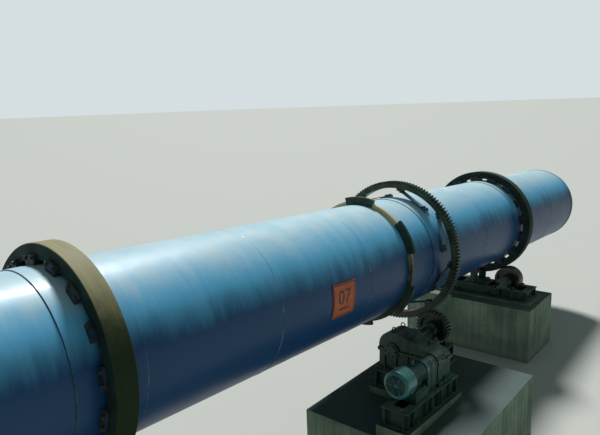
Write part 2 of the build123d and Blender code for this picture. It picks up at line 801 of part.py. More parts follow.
output_start = boss_start + boss_length + shaft_end_gap
with BuildPart() as low_speed_coupling:
    with BuildSketch(across(coupling_at - coupling_length / 2, pinion_drop, pinion_side)):
        Circle(coupling_hub_radius)
    extrude(amount=coupling_length)
    with BuildSketch(across(coupling_at - coupling_flange_length / 2, pinion_drop, pinion_side)):
        Circle(coupling_radius)
    extrude(amount=coupling_flange_length)
    with BuildSketch(across(coupling_at - coupling_gap / 2, pinion_drop, pinion_side)):
        Circle(journal_radius + seat)
    extrude(amount=coupling_length, mode=Mode.SUBTRACT)
    with BuildSketch(across(output_start, pinion_drop, pinion_side)):
        Circle(journal_radius)
    extrude(amount=coupling_at - coupling_gap - output_start)
save(low_speed_coupling.part, "low_speed_coupling")

blocks = []
for end, blind in ((-1, 0), (1, 1)):
    block_at = gear_at + end * pinion_bearing_offset
    blocks.append(bearing(block_at, pinion_drop, pinion_side, pinion_bearing_width, blind))
save(Compound(children=blocks), "pinion_bearings")
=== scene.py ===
"""Dressing of the rotary drum dryer: finishes, welds, bolts, fittings, floor, light and camera.

Metres. Most pieces are shaped in the machine's own directions: x runs downhill along the drum's axis from the
middle of the discharge tyre, y points up square to that axis and z points to the drive side. MACHINE takes
them to the frame's directions. Angles about the drum are measured from straight up towards the drive side.
"""

import json
import math
from functools import lru_cache
from itertools import combinations, product

import bmesh
import bpy
from bpy.props import FloatProperty, FloatVectorProperty, IntProperty, PointerProperty, StringProperty
from mathutils import Matrix, Vector


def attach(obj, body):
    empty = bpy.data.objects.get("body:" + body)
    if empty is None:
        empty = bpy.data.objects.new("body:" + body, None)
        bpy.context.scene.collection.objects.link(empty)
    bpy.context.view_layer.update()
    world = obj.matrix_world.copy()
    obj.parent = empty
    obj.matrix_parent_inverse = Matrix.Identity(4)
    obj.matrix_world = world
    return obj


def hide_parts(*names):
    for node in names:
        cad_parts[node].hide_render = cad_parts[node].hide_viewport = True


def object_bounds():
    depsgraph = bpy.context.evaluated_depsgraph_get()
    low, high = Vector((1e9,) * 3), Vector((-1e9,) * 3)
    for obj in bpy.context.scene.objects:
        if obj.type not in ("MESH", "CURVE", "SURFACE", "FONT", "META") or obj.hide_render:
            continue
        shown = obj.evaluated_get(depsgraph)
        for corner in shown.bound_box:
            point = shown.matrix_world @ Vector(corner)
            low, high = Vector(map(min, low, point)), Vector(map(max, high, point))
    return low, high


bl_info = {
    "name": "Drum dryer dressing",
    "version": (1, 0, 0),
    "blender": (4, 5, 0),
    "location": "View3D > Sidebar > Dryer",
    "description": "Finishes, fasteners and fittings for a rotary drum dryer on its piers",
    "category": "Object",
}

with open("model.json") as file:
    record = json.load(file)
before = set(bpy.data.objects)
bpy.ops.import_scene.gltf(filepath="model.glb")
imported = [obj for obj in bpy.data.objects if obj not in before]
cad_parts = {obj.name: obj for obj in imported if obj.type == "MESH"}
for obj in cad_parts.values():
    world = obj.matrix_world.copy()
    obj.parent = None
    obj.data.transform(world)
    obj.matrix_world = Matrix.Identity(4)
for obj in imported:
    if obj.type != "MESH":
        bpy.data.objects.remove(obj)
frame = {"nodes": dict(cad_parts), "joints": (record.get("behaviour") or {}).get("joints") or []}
cad_low, cad_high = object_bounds()

# Machine directions and the places of the axles
JOINTS = {joint["name"]: joint for joint in frame["joints"]}
DOWNHILL = Vector(JOINTS["drum_spin"]["axis"]).normalized()
NEAR = Vector((0.0, -1.0, 0.0))
UPWARD = NEAR.cross(DOWNHILL)
ORIGIN = Vector(JOINTS["drum_spin"]["pos_m"])
MACHINE = Matrix.Translation(ORIGIN) @ Matrix((DOWNHILL, UPWARD, NEAR)).transposed().to_4x4()
AXLES = {name: MACHINE.inverted() @ Vector(joint["pos_m"]) for name, joint in JOINTS.items()}
STATIONS = ("feed", "discharge")

# Turns that take a fastener's own axis, z, to a machine direction
QUARTER = math.pi / 2
DOWN_AXIS = Matrix.Rotation(QUARTER, 4, "Y")
UP_AXIS = Matrix.Rotation(-QUARTER, 4, "Y")
RISING = Matrix.Rotation(-QUARTER, 4, "X")
FALLING = Matrix.Rotation(QUARTER, 4, "X")
OUTWARD = Matrix()
INWARD = Matrix.Rotation(math.pi, 4, "X")

WELD_DISTANCE = 1e-5
SMOOTH_ANGLE = math.radians(35)


# Places
def move(x=0.0, y=0.0, z=0.0):
    return Matrix.Translation((x, y, z))


def about_drum(angle):
    """Turn about the drum's axis; y then points outward at `angle` and z runs round the drum."""
    return Matrix.Rotation(angle, 4, "X")


def around(count, radius=0.0, height=0.0, shift=0.0):
    """Places evenly round z, the first turned by `shift` of a step."""
    turns = [Matrix.Rotation(2 * math.pi * (number + shift) / count, 4, "Z") for number in range(count)]
    return [turn @ move(radius, 0, height) for turn in turns]


def both(middle, reach):
    """The two places at a reach to either side of a middle."""
    return middle - reach, middle + reach


def spaced(start, end, count):
    """Places from a start to an end, both of them included."""
    return [start + number * (end - start) / (count - 1) for number in range(count)]


def shared(start, end, count):
    """Middles of equal shares of a stretch."""
    return [start + (number + 0.5) * (end - start) / count for number in range(count)]


def standing(xs, y, zs):
    """Places that look up from a level, one at each x and z."""
    return [move(x, y, z) @ RISING for x, z in product(xs, zs)]


def on_each(faces, spots):
    """Each of some spots on each of some faces."""
    return [face @ spot for face, spot in product(faces, spots)]


def ends(low, high, axle):
    """Places where an axle passes both ends of a box, looking out along it, uphill first."""
    return [move(low.x, axle.y, axle.z) @ UP_AXIS, move(high.x, axle.y, axle.z) @ DOWN_AXIS]


def span(points, turned=Matrix()):
    """Lowest and highest corner of some points, after a turn."""
    moved = [turned @ point for point in points]
    return Vector([min(values) for values in zip(*moved)]), Vector([max(values) for values in zip(*moved)])


def halfway(low, high):
    """Middle of two corners, as plain numbers."""
    return [(start + end) / 2 for start, end in zip(low, high)]


def solids(name):
    """Corner points of each separate solid of a CAD node, in machine directions, uphill solids first."""
    mesh = bmesh.new()
    mesh.from_mesh(frame["nodes"][name].data)
    bmesh.ops.transform(mesh, matrix=MACHINE.inverted(), verts=mesh.verts)
    bmesh.ops.remove_doubles(mesh, verts=mesh.verts, dist=WELD_DISTANCE)
    left = set(mesh.verts)
    found = []
    while left:
        waiting = [left.pop()]
        joined = []
        while waiting:
            vert = waiting.pop()
            joined.append(vert.co.copy())
            for edge in vert.link_edges:
                other = edge.other_vert(vert)
                if other in left:
                    left.remove(other)
                    waiting.append(other)
        found.append(sorted(joined, key=lambda point: point[:]))
    mesh.free()
    return sorted(found, key=lambda points: [round(value, 4) for value in points[0]])


def solid_boxes(name):
    """Lowest and highest corner of each solid of a CAD node, in machine directions."""
    return [span(points) for points in solids(name)]


def extent(name):
    """Lowest and highest corner of a CAD node in machine directions."""
    return span([MACHINE.inverted() @ vert.co for vert in frame["nodes"][name].data.vertices])


def centre(name):
    low, high = extent(name)
    return (low + high) / 2


# Meshes of single parts, each standing on z = 0
def finished_mesh(name, mesh):
    bmesh.ops.recalc_face_normals(mesh, faces=mesh.faces)
    data = bpy.data.meshes.new(name)
    mesh.to_mesh(data)
    mesh.free()
    return data


@lru_cache(maxsize=None)
def lathe(profile, steps=24):
    """Mesh turned about z from (radius, height) points; it closes on the axis or on its first point."""
    mesh = bmesh.new()
    verts = [mesh.verts.new((radius, 0.0, height)) for radius, height in profile]
    edges = [mesh.edges.new(pair) for pair in zip(verts, verts[1:])]
    whole_turn = {"cent": (0, 0, 0), "axis": (0, 0, 1), "angle": 2 * math.pi}
    bmesh.ops.spin(mesh, geom=verts + edges, steps=steps, **whole_turn)
    bmesh.ops.remove_doubles(mesh, verts=mesh.verts, dist=WELD_DISTANCE)
    return finished_mesh("lathe", mesh)


@lru_cache(maxsize=None)
def prism(outline, height, rounding=0.0):
    """Mesh of a flat outline raised to a height, its edges eased."""
    mesh = bmesh.new()
    face = mesh.faces.new([mesh.verts.new((x, y, 0.0)) for x, y in outline])
    raised = bmesh.ops.extrude_face_region(mesh, geom=[face])["geom"]
    top = [part for part in raised if isinstance(part, bmesh.types.BMVert)]
    bmesh.ops.translate(mesh, vec=(0, 0, height), verts=top)
    if rounding:
        bmesh.ops.bevel(mesh, geom=mesh.edges[:], offset=rounding, segments=2, profile=0.5, affect="EDGES")
    return finished_mesh("prism", mesh)


def block(length, width, height, rounding=0.0):
    """Eased block centred on x and y."""
    x, y = length / 2, width / 2
    return prism(((-x, -y), (x, -y), (x, y), (-x, y)), height, rounding)


def circle(corners, radius):
    """Corners of a regular polygon, as a tuple."""
    turns = [2 * math.pi * corner / corners for corner in range(corners)]
    return tuple((radius * math.cos(turn), radius * math.sin(turn)) for turn in turns)


def disc(radius, thickness, easing=0.002, hole=0.0, steps=32):
    """Disc or ring with eased rims."""
    rim = (radius, 0.0), (radius, thickness - easing), (radius - easing, thickness), (hole, thickness)
    closing = ((hole, 0.0),) if hole else ()
    return lathe(((hole, 0.0), *rim, *closing), steps)


def gathered(parts, basis=Matrix()):
    """One bmesh from (mesh, places) pairs."""
    whole = bmesh.new()
    for mesh, places in parts:
        for place in places:
            copy = mesh.copy()
            copy.transform(basis @ place)
            whole.from_mesh(copy)
            bpy.data.meshes.remove(copy)
    return whole


@lru_cache(maxsize=None)
def bolt(size, stud=0.0):
    """Hexagon head or nut on a washer; `stud` is the length of thread that stands beyond it."""
    washer_thickness = 0.16 * size
    head_height = 0.7 * size
    head = prism(circle(6, 0.9 * size), head_height, rounding=0.07 * size)
    parts = [
        (disc(1.1 * size, washer_thickness, easing=0.04 * size, steps=20), [move()]),
        (head, [move(z=washer_thickness)]),
    ]
    if stud:
        thread = disc(0.5 * size, stud, easing=0.1 * size, steps=14)
        parts.append((thread, [move(z=washer_thickness + head_height - 0.05 * size)]))
    return finished_mesh("bolt", gathered(parts))


@lru_cache(maxsize=None)
def torus(radius, thickness, steps=28, sides=10):
    """Ring of round bar about z."""
    angles = [2 * math.pi * side / sides for side in range(sides + 1)]
    half = thickness / 2
    return lathe(tuple((radius + half * math.cos(a), half * math.sin(a)) for a in angles), steps)


def weld_profile(width, height):
    """Points across a weld bead: along its width, and how proud they stand."""
    shape = ((-0.5, -0.3), (-0.28, 0.66), (0.0, 1.0), (0.28, 0.66), (0.5, -0.3))
    return tuple((place * width, proud * height) for place, proud in shape)


def dressed(name, data, finish_name, body):
    """Object of a mesh that rides on a body with a finish."""
    data.materials.append(finish(finish_name))
    made = bpy.data.objects.new(name, data)
    bpy.context.scene.collection.objects.link(made)
    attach(made, body)
    return made


def piece(name, finish_name, parts, body="foundations", basis=MACHINE):
    """One object from (mesh, places) pairs."""
    data = finished_mesh(name, gathered(parts, basis))
    data.shade_smooth()
    data.set_sharp_from_angle(angle=SMOOTH_ANGLE)
    return dressed(name, data, finish_name, body)


def casting(name, parts):
    """Piece in the machine's green paint."""
    piece(name, "green_machine_paint", parts)


def fasteners(name, parts, body="foundations"):
    """Piece of dark bolts and screws."""
    piece(name, "dark_fasteners", parts, body)


# Shader values
class Value:
    """Output of a shader node; adding, taking away, multiplying or dividing it adds a Math node."""

    def __init__(self, socket):
        self.socket = socket
        self.tree = socket.id_data

    def __add__(self, other):
        return calculated("ADD", self, other)

    def __sub__(self, other):
        return calculated("SUBTRACT", self, other)

    def __rsub__(self, other):
        return calculated("SUBTRACT", other, self)

    def __mul__(self, other):
        return calculated("MULTIPLY", self, other)

    def __truediv__(self, other):
        return calculated("DIVIDE", self, other)

    __radd__ = __add__


def colour(name):
    """A colour of the scene's settings with full alpha."""
    return (*getattr(bpy.context.scene.dryer_colours, name), 1.0)


def node(tree, kind, values=None, out=0, **settings):
    """Adds a shader node and gives one output; `values` maps its inputs to numbers, colours or values."""
    made = tree.nodes.new("ShaderNode" + kind)
    for key, value in settings.items():
        setattr(made, key, value)
    for key, value in (values or {}).items():
        if isinstance(value, Value):
            tree.links.new(value.socket, made.inputs[key])
        else:
            made.inputs[key].default_value = colour(value) if isinstance(value, str) else value
    return Value(made.outputs[out])


def calculated(operation, *values):
    """Math node over values and numbers."""
    tree = next(value.tree for value in values if isinstance(value, Value))
    return node(tree, "Math", dict(enumerate(values)), operation=operation)


def rise(value, low, high, start=0.0, end=1.0):
    """Smooth step from `start` at `low` to `end` at `high`."""
    limits = dict(enumerate((value, low, high, start, end)))
    return node(value.tree, "MapRange", limits, interpolation_type="SMOOTHSTEP")


def blend(factor, below, above):
    """Colour between two, each a value or the name of a colour."""
    return node(factor.tree, "Mix", {0: factor, 6: below, 7: above}, 2, data_type="RGBA")


def layered(base, *layers):
    """Colours laid over a base, each where its mask is."""
    for where, laid in layers:
        base = blend(where, base, laid)
    return base


def noise(place, scale, detail=4.0, roughness=0.55):
    values = {"Vector": place, "Scale": scale, "Detail": detail, "Roughness": roughness}
    return node(place.tree, "TexNoise", values)


def number_of(value):
    """A random number for each whole number below a value."""
    return node(value.tree, "TexWhiteNoise", {"W": calculated("FLOOR", value)}, noise_dimensions="1D")


def vectors(operation, first, second, out=0):
    return node(first.tree, "VectorMath", {0: first, 1: second}, out, operation=operation)


def stretched(place, *factors):
    return vectors("MULTIPLY", place, factors)


def own_place(tree):
    return node(tree, "TexCoord", out="Object")


def bump(height, strength, distance):
    return node(height.tree, "Bump", {"Strength": strength, "Distance": distance, "Height": height})


def surface(tree, **values):
    """Puts the Principled shader on a material; names use _ for spaces."""
    shader = node(tree, "BsdfPrincipled", {key.replace("_", " "): value for key, value in values.items()})
    output = tree.nodes.new("ShaderNodeOutputMaterial")
    tree.links.new(shader.socket, output.inputs[0])


# Shader groups
GROUPS = {}


def group(name, inputs, outputs=("Mask",)):
    """Decorator that keeps a function as the builder of a shader group with these sockets."""

    def keep(build):
        GROUPS[name] = (inputs, outputs, build)
        return build

    return keep


def named_outputs(made):
    return {socket.name: Value(socket) for socket in made.outputs}


def placed_group(tree, name, **values):
    """Adds a shader group to a tree, and builds the group the first time."""
    made = bpy.data.node_groups.get(name)
    if made is None:
        inputs, outputs, build = GROUPS[name]
        made = bpy.data.node_groups.new(name, "ShaderNodeTree")
        for label, default in inputs.items():
            kind = "NodeSocketColor" if isinstance(default, tuple) else "NodeSocketFloat"
            made.interface.new_socket(label, in_out="INPUT", socket_type=kind).default_value = default
        for label in outputs:
            kind = "NodeSocketColor" if label == "Color" else "NodeSocketFloat"
            made.interface.new_socket(label, in_out="OUTPUT", socket_type=kind)
        entry = made.nodes.new("NodeGroupInput")
        leaving = made.nodes.new("NodeGroupOutput")
        for label, value in build(made, named_outputs(entry)).items():
            made.links.new(value.socket, leaving.inputs[label])
    return named_outputs(node(tree, "Group", values, node_tree=made).socket.node)


def mask(tree, name, **values):
    return placed_group(tree, name, **values)["Mask"]


@group("drum place", {}, ("Along", "Radius", "Angle", "Top"))
def drum_place(tree, entry):
    """Where a point of the drum lies: along the axis, out from it, round it, and how near the top."""
    from_origin = vectors("SUBTRACT", own_place(tree), ORIGIN)
    ways = (DOWNHILL, UPWARD, NEAR)
    along, up, side = (vectors("DOT_PRODUCT", from_origin, way, "Value") for way in ways)
    radius = calculated("SQRT", up * up + side * side)
    return {"Along": along, "Radius": radius, "Angle": calculated("ARCTAN2", side, up), "Top": up / radius}


@group("round streaks", {"Along": 0.0, "Angle": 0.0, "Fineness": 8.0, "Length": 1.0})
def round_streaks(tree, entry):
    """Streaks that run round the drum, from rain, dust and the rollers' contact."""
    laid_out = {0: entry["Along"] * entry["Fineness"], 1: entry["Angle"] / entry["Length"]}
    return {"Mask": rise(noise(node(tree, "CombineXYZ", laid_out), 1.0, 5.0, 0.6), 0.3, 0.7)}


PAINT_INPUTS = {
    "Paint": (0.5, 0.5, 0.5, 1.0),
    "Faded": (0.6, 0.6, 0.6, 1.0),
    "Dirt": (0.1, 0.09, 0.07, 1.0),
    "Rust": (0.16, 0.06, 0.02, 1.0),
    "Fading": 0.5,
    "Dirtiness": 0.4,
    "Rusting": 0.1,
    "Size": 1.0,
    "Gloss": 0.6,
}


@group("weathering", PAINT_INPUTS, ("Color", "Roughness", "Height"))
def weathering(tree, entry):
    """Paint that fades in patches, runs with dirt and breaks into rust."""
    place = node(tree, "VectorMath", {0: own_place(tree), 3: entry["Size"]}, operation="SCALE")
    patches = rise(noise(place, 3.4, 7.0, 0.62), 0.38, 0.62)
    runs = rise(noise(stretched(place, 9.0, 9.0, 0.9), 1.0, 5.0, 0.65), 0.42, 0.68)
    spots = rise(noise(place, 11.0, 8.0, 0.7), 0.66, 0.72)
    dirty = runs * entry["Dirtiness"]
    rusty = spots * entry["Rusting"]
    layers = (patches * entry["Fading"], entry["Faded"]), (dirty, entry["Dirt"]), (rusty, entry["Rust"])
    return {
        "Color": layered(entry["Paint"], *layers),
        "Roughness": 1.0 - entry["Gloss"] + dirty * 0.25 + patches * 0.08 + rusty * 0.3,
        "Height": noise(place, 60.0, 3.0) + rusty * 2.0,
    }


@group("edge wear", {"Width": 0.006, "Amount": 0.7})
def edge_wear(tree, entry):
    """Mask of worn edges, broken up by scuffs."""
    rounded = node(tree, "Bevel", {"Radius": entry["Width"]}, samples=4)
    facing = vectors("DOT_PRODUCT", rounded, node(tree, "NewGeometry", out="Normal"), "Value")
    scuffs = rise(noise(own_place(tree), 9.0, 5.0), 0.4, 0.6)
    return {"Mask": rise(facing, 0.94, 0.8) * scuffs * entry["Amount"]}


@group("crevice grime", {"Reach": 0.12, "Amount": 0.8})
def crevice_grime(tree, entry):
    """Mask of corners and hidden places, where grease and dust stay."""
    open_sky = node(tree, "AmbientOcclusion", {"Distance": entry["Reach"]}, "AO", samples=6)
    return {"Mask": rise(open_sky, 0.85, 0.25) * entry["Amount"]}


@group("settled dust", {"Amount": 0.5, "Size": 3.0, "Evenness": 0.0})
def settled_dust(tree, entry):
    """Mask of faces that look up: dust on the machines; on the concrete, oil and painted shade."""
    upward = node(tree, "SeparateXYZ", {0: node(tree, "TexCoord", out="Normal")}, 2)
    cloud = rise(noise(own_place(tree), entry["Size"], 5.0), 0.3, 0.75, entry["Evenness"])
    return {"Mask": rise(upward, 0.55, 0.98) * cloud * entry["Amount"]}


# Finishes
def finish(name):
    """The material of that name, built the first time it is asked for."""
    made = bpy.data.materials.get(name)
    if made is None:
        made = bpy.data.materials.new(name)
        made.use_nodes = True
        made.node_tree.nodes.clear()
        FINISHES[name](made.node_tree)
    return made


def blue_shell_paint(tree):
    """Gloss blue, pale along the top and deep blue down the sides as painted sunlight and shade, with wash
    streaks round the drum and a tone for each plate.
    """
    tone_pitch = 1.79
    place = own_place(tree)
    spot = placed_group(tree, "drum place")
    streaks = mask(tree, "round streaks", Along=spot["Along"], Angle=spot["Angle"], Fineness=9.0, Length=0.8)
    patches = noise(place, 3.2, 6.0)
    # Height follows the Top of the drum: painted sunlight along the top, painted shade down the sides.
    height = spot["Top"] + (noise(place, 0.7, 3.0) - 0.5) * 0.3 + (streaks - 0.5) * 0.07
    # Pale on top and in streaks: partly dust, and on top partly painted sunlight.
    dusty = (rise(spot["Top"], 0.5, 1.0) * rise(patches, 0.3, 0.8) + streaks * 0.15) * 0.35
    wall_inside = min(point.yz.length for solid in solids("drum_shell") for point in solid)
    inside = rise(spot["Radius"], wall_inside + 0.004, wall_inside + 0.002)
    paint = layered(
        blend(rise(height, 0.2, 0.62), "shell_deep", "shell_blue"),
        (rise(height, 0.58, 1.0), "shell_faded"),
        (number_of(spot["Along"] / tone_pitch) * 0.12, "shell_deep"),
        (dusty * rise(spot["Top"], 0.2, 0.8), "dust"),
        (rise(noise(place, 14.0, 8.0, 0.75), 0.7, 0.74) * 0.6, "rust"),
        # Pale lines on edges and beads: worn paint, and painted highlight on the course steps.
        (mask(tree, "edge wear", Width=0.012, Amount=0.7), "shell_faded"),
        (inside, blend(rise(patches, 0.35, 0.65), "tyre_rust", "dust_inside")),
    )
    surface(
        tree,
        Base_Color=paint,
        Roughness=dusty * 0.45 + 0.34 + patches * 0.1 + inside * 0.5,
        Specular_IOR_Level=0.22,
        Coat_Weight=0.06,
        Coat_Roughness=0.1,
        Normal=bump(noise(place, 1.6, 2.0) + streaks * 0.04, 0.3, 0.03),
    )


def painted(paint, faded, fading, dirtiness, rusting, gloss, size=1.0, dust=0.3, wear=0.5, coat=0.0):
    """Builder of weathered machine paint with worn edges, grime in the corners and dust on top."""
    state = {"Fading": fading, "Dirtiness": dirtiness, "Rusting": rusting, "Size": size, "Gloss": gloss}

    def build(tree):
        skin = placed_group(tree, "weathering", Paint=paint, Faded=faded, Dirt="oil", Rust="rust", **state)
        worn = mask(tree, "edge wear", Amount=wear)
        dusty = mask(tree, "settled dust", Amount=dust)
        grime = mask(tree, "crevice grime", Amount=0.75)
        surface(
            tree,
            Base_Color=layered(skin["Color"], (worn, "bare_steel"), (grime, "oil"), (dusty, "dust")),
            Roughness=skin["Roughness"] + dusty * 0.4,
            Metallic=worn * 0.6,
            Coat_Weight=coat,
            Coat_Roughness=0.2,
            Normal=bump(skin["Height"], 0.25, 0.002),
        )

    return build


def rolled_tyre_steel(tree):
    """Tread tan on top and olive lower down as painted sunlight and shade, darker on the discharge tyre as
    painted shade, burnished in bands; sides dark with oil and paint.
    """
    place = own_place(tree)
    spot = placed_group(tree, "drum place")
    tread_radius = extent("tyre_feed")[1].y
    on_tread = rise(spot["Radius"], tread_radius - 0.007, tread_radius - 0.003)
    rubbed = mask(tree, "round streaks", Along=spot["Along"], Angle=spot["Angle"], Fineness=26.0, Length=1.4)
    clouds = noise(place, 4.5, 7.0, 0.65)
    # Tread tones follow the light: tan and rust brown where the sun falls on top, olive lower down, as
    # painted sunlight and shade.
    light = spot["Top"] + (clouds - 0.5) * 0.4
    # The discharge tyre's tread is darkened as painted shade.
    near_feed = rise(spot["Along"], -5.0, -6.0)
    tread = layered(
        blend(rise(light, 0.2, 0.75), "tyre_olive", "tyre_rust"),
        (rise(light, 0.42, 0.8) * near_feed, "tyre_tan"),
        ((1.0 - near_feed) * 0.6, "oil"),
        (rubbed * 0.3, "tyre_olive"),
    )
    spatter = rise(noise(place, 22.0, 6.0, 0.7), 0.62, 0.72)
    side = layered(blend(rise(clouds, 0.42, 0.62), "tyre_dark", "tyre_blue"), (spatter * 0.5, "rust"))
    worn = mask(tree, "edge wear", Width=0.012, Amount=0.3)
    surface(
        tree,
        Base_Color=layered(side, (on_tread, tread), (worn, "bare_steel")),
        Roughness=0.68 - rubbed * 0.12,
        Specular_IOR_Level=0.12,
        Normal=bump(clouds + rubbed * 0.5, 0.4, 0.004),
    )


def greased_gear_casting(tree):
    """Black-olive casting under grease, with dust caught on it; its very dark tone is partly painted shade.
    """
    place = own_place(tree)
    greasy = rise(noise(place, 5.0, 6.0), 0.38, 0.6)
    metal = layered(
        blend(greasy, "gear_olive", "oil"),
        (mask(tree, "crevice grime", Reach=0.06, Amount=0.9), "grease"),
        (mask(tree, "settled dust", Amount=0.3, Size=6.0), "tyre_olive"),
        (mask(tree, "edge wear", Width=0.004, Amount=0.12), "bare_steel"),
    )
    relief = bump(noise(place, 38.0, 4.0), 0.5, 0.003)
    surface(tree, Base_Color=metal, Roughness=0.6 - greasy * 0.28, Metallic=0.1, Normal=relief)


def lug_ring_paint(tree):
    """Dark green lugs on a narrow ring, straw yellow on top and olive lower down as painted sunlight and
    shade.
    """
    lug_count = 6
    spot = placed_group(tree, "drum place")
    on_lug = rise(calculated("COSINE", spot["Angle"] * lug_count), -0.06, 0.02)
    clouds = noise(own_place(tree), 7.0, 6.0)
    # The narrow ring's straw and olive follow the Top of the drum: painted sunlight and shade.
    narrow_ring_lit = blend(rise(spot["Top"] + clouds, 0.3, 1.3), "tyre_olive", "straw")
    lug = blend(rise(clouds, 0.4, 0.65), "machine_green", "oil")
    surface(
        tree,
        Base_Color=layered(narrow_ring_lit, (on_lug, lug), (mask(tree, "edge wear", Amount=0.5), "rust")),
        Roughness=rise(clouds, 0.2, 0.8, 0.4, 0.65),
        Normal=bump(clouds, 0.3, 0.004),
    )


def weathered(relief, metallic=0.0, **values):
    """Builder of a bare weathered coat; `relief` is the strength and depth of its grain."""

    def build(tree):
        coat = placed_group(tree, "weathering", **values)
        grain = bump(coat["Height"], *relief)
        surface(tree, Base_Color=coat["Color"], Roughness=coat["Roughness"], Metallic=metallic, Normal=grain)

    return build


def mottled(scale, below, above, spread, rough, detail=5.0, **more):
    """Builder of two colours in small clouds; `spread` and `rough` say how both follow the clouds."""

    def build(tree):
        cloud = noise(own_place(tree), scale, detail)
        blotches = rise(cloud, *spread) if spread else cloud
        surface(tree, Base_Color=blend(blotches, below, above), Roughness=rise(cloud, *rough), **more)

    return build


def turned_roller_steel(tree):
    """Dark grey steel clouded with olive brown, oily in its corners, with fine turning lines."""
    place = own_place(tree)
    clouds = noise(place, 6.0, 6.0)
    lines = noise(stretched(place, 90.0, 4.0, 4.0), 1.0, 3.0)
    steel = blend(rise(clouds, 0.4, 0.65), "bolt_grey", "tyre_olive")
    surface(
        tree,
        Base_Color=blend(mask(tree, "crevice grime", Reach=0.1, Amount=0.9), steel, "oil"),
        Roughness=rise(clouds + lines, 0.7, 1.4, 0.3, 0.55),
        Metallic=0.5,
        Normal=bump(lines, 0.15, 0.001),
    )


def painted_shade_recess(tree):
    """Painted shade behind a grille, black where the cowl's inside would be dark."""
    surface(tree, Base_Color=blend(noise(own_place(tree), 20.0), "oil", "tyre_dark"), Roughness=0.7)


def concrete(oil_and_shade, evenness):
    """Builder of board-marked concrete: a tone for each board, runs, air holes, and oil with painted shade on
    what looks up.
    """

    def build(tree):
        place = own_place(tree)
        x, y, z = (node(tree, "SeparateXYZ", {0: place}, axis) for axis in range(3))
        tone = number_of((x + y) / bpy.context.scene.dryer_fittings.board_width)
        clouds = noise(place, 1.3, 7.0, 0.6)
        runs = rise(noise(stretched(place, 5.0, 5.0, 0.5), 1.0, 6.0, 0.65), 0.45, 0.8)
        grain = noise(stretched(place, 40.0, 40.0, 3.0), 1.0, 4.0)
        sand = noise(place, 90.0, 3.0)
        specks = rise(noise(place, 60.0, 5.0, 0.7), 0.55, 0.75, 0.0, 0.35)
        foot = rise(z + clouds * 0.5, 0.55, 0.2)
        # Faces that look up darken: oil, and painted shade from the drum and machines above them.
        level = mask(tree, "settled dust", Amount=oil_and_shade, Size=1.2, Evenness=evenness)
        mixed = layered(
            blend(rise(tone * 0.16 + clouds, 0.28, 0.92), "concrete_grey", "concrete_pale"),
            (runs * 0.6, "concrete_damp"),
            (rise(grain, 0.45, 0.75, 0.0, 0.2), "concrete_damp"),
            (specks, "dust"),
            (foot * 0.4, "dust"),
            (level, "oil_sheen"),
            (mask(tree, "crevice grime", Reach=0.25, Amount=0.4), "oil"),
        )
        holes = rise(node(tree, "TexVoronoi", {"Vector": place, "Scale": 16.0}), 0.1, 0.16)
        relief = grain * 0.8 + sand * 0.4 + (holes + tone * 0.4)
        surface(tree, Base_Color=mixed, Roughness=0.92 - level * 0.22, Normal=bump(relief, 0.5, 0.004))

    return build


def pale_floor(tree):
    """Even studio floor."""
    floor = (*bpy.context.scene.dryer_stage.floor_colour, 1.0)
    surface(tree, Base_Color=blend(noise(own_place(tree), 0.8) * 0.12, floor, "dust"), Roughness=0.9)


GREEN = {"paint": "machine_green", "faded": "machine_teal"}
FINISHES = {
    "blue_shell_paint": blue_shell_paint,
    "blue_plate_paint": painted(
        "shell_deep", "shell_blue", fading=0.6, dirtiness=0.5, rusting=0.3, gloss=0.6
    ),
    # Near-black pad paint: the pads' own navy, darkened further as painted shade under the tyre.
    "pad_paint": painted(
        "pad_navy", "shell_deep", fading=0.4, dirtiness=0.6, rusting=0.2, gloss=0.55,
        size=2.0, dust=0.25, wear=0.35,
    ),
    "green_machine_paint": painted(
        **GREEN, fading=0.55, dirtiness=0.7, rusting=0.35, gloss=0.62, dust=0.18, coat=0.15
    ),
    "green_frame_paint": painted(**GREEN, fading=0.75, dirtiness=0.6, rusting=0.5, gloss=0.5, wear=0.6),
    "teal_motor_paint": painted(
        "motor_teal", "motor_pale", fading=0.45, dirtiness=0.35, rusting=0.1, gloss=0.72,
        size=2.0, dust=0.12, coat=0.5,
    ),
    "rolled_tyre_steel": rolled_tyre_steel,
    "greased_gear_casting": greased_gear_casting,
    "lug_ring_paint": lug_ring_paint,
    "rusty_flight_plate": weathered(
        (0.4, 0.002), metallic=0.2, Paint="tyre_rust", Faded="rust", Dirt="oil", Rust="tyre_tan",
        Fading=0.9, Dirtiness=0.3, Rusting=0.5, Gloss=0.3,
    ),
    "orange_sign_paint": weathered(
        (0.1, 0.001), Paint="sign_orange", Faded="sign_faded",
        Fading=0.6, Dirtiness=0.3, Rusting=0.25, Size=4.0, Gloss=0.55,
    ),
    "stencil_black": mottled(40.0, "oil", "sign_orange", (0.5, 0.75), (0.2, 0.8, 0.45, 0.65)),
    "turned_roller_steel": turned_roller_steel,
    "dark_fasteners": mottled(
        25.0, "bolt_grey", "rust", (0.4, 0.62, 0.0, 0.55), (0.2, 0.8, 0.35, 0.65), Metallic=0.7
    ),
    "bright_fasteners": mottled(
        30.0, "zinc", "bolt_grey", (0.45, 0.75), (0.2, 0.8, 0.25, 0.5), Metallic=0.8
    ),
    "painted_shade_recess": painted_shade_recess,
    "oil_glass": mottled(
        60.0, "tyre_rust", "straw", (), (0.3, 0.7, 0.05, 0.12), detail=3.0, Coat_Weight=1.0
    ),
    "pier_concrete": concrete(oil_and_shade=0.7, evenness=0.6),
    "oiled_and_shaded_concrete": concrete(oil_and_shade=0.97, evenness=0.93),
    "pale_floor": pale_floor,
}
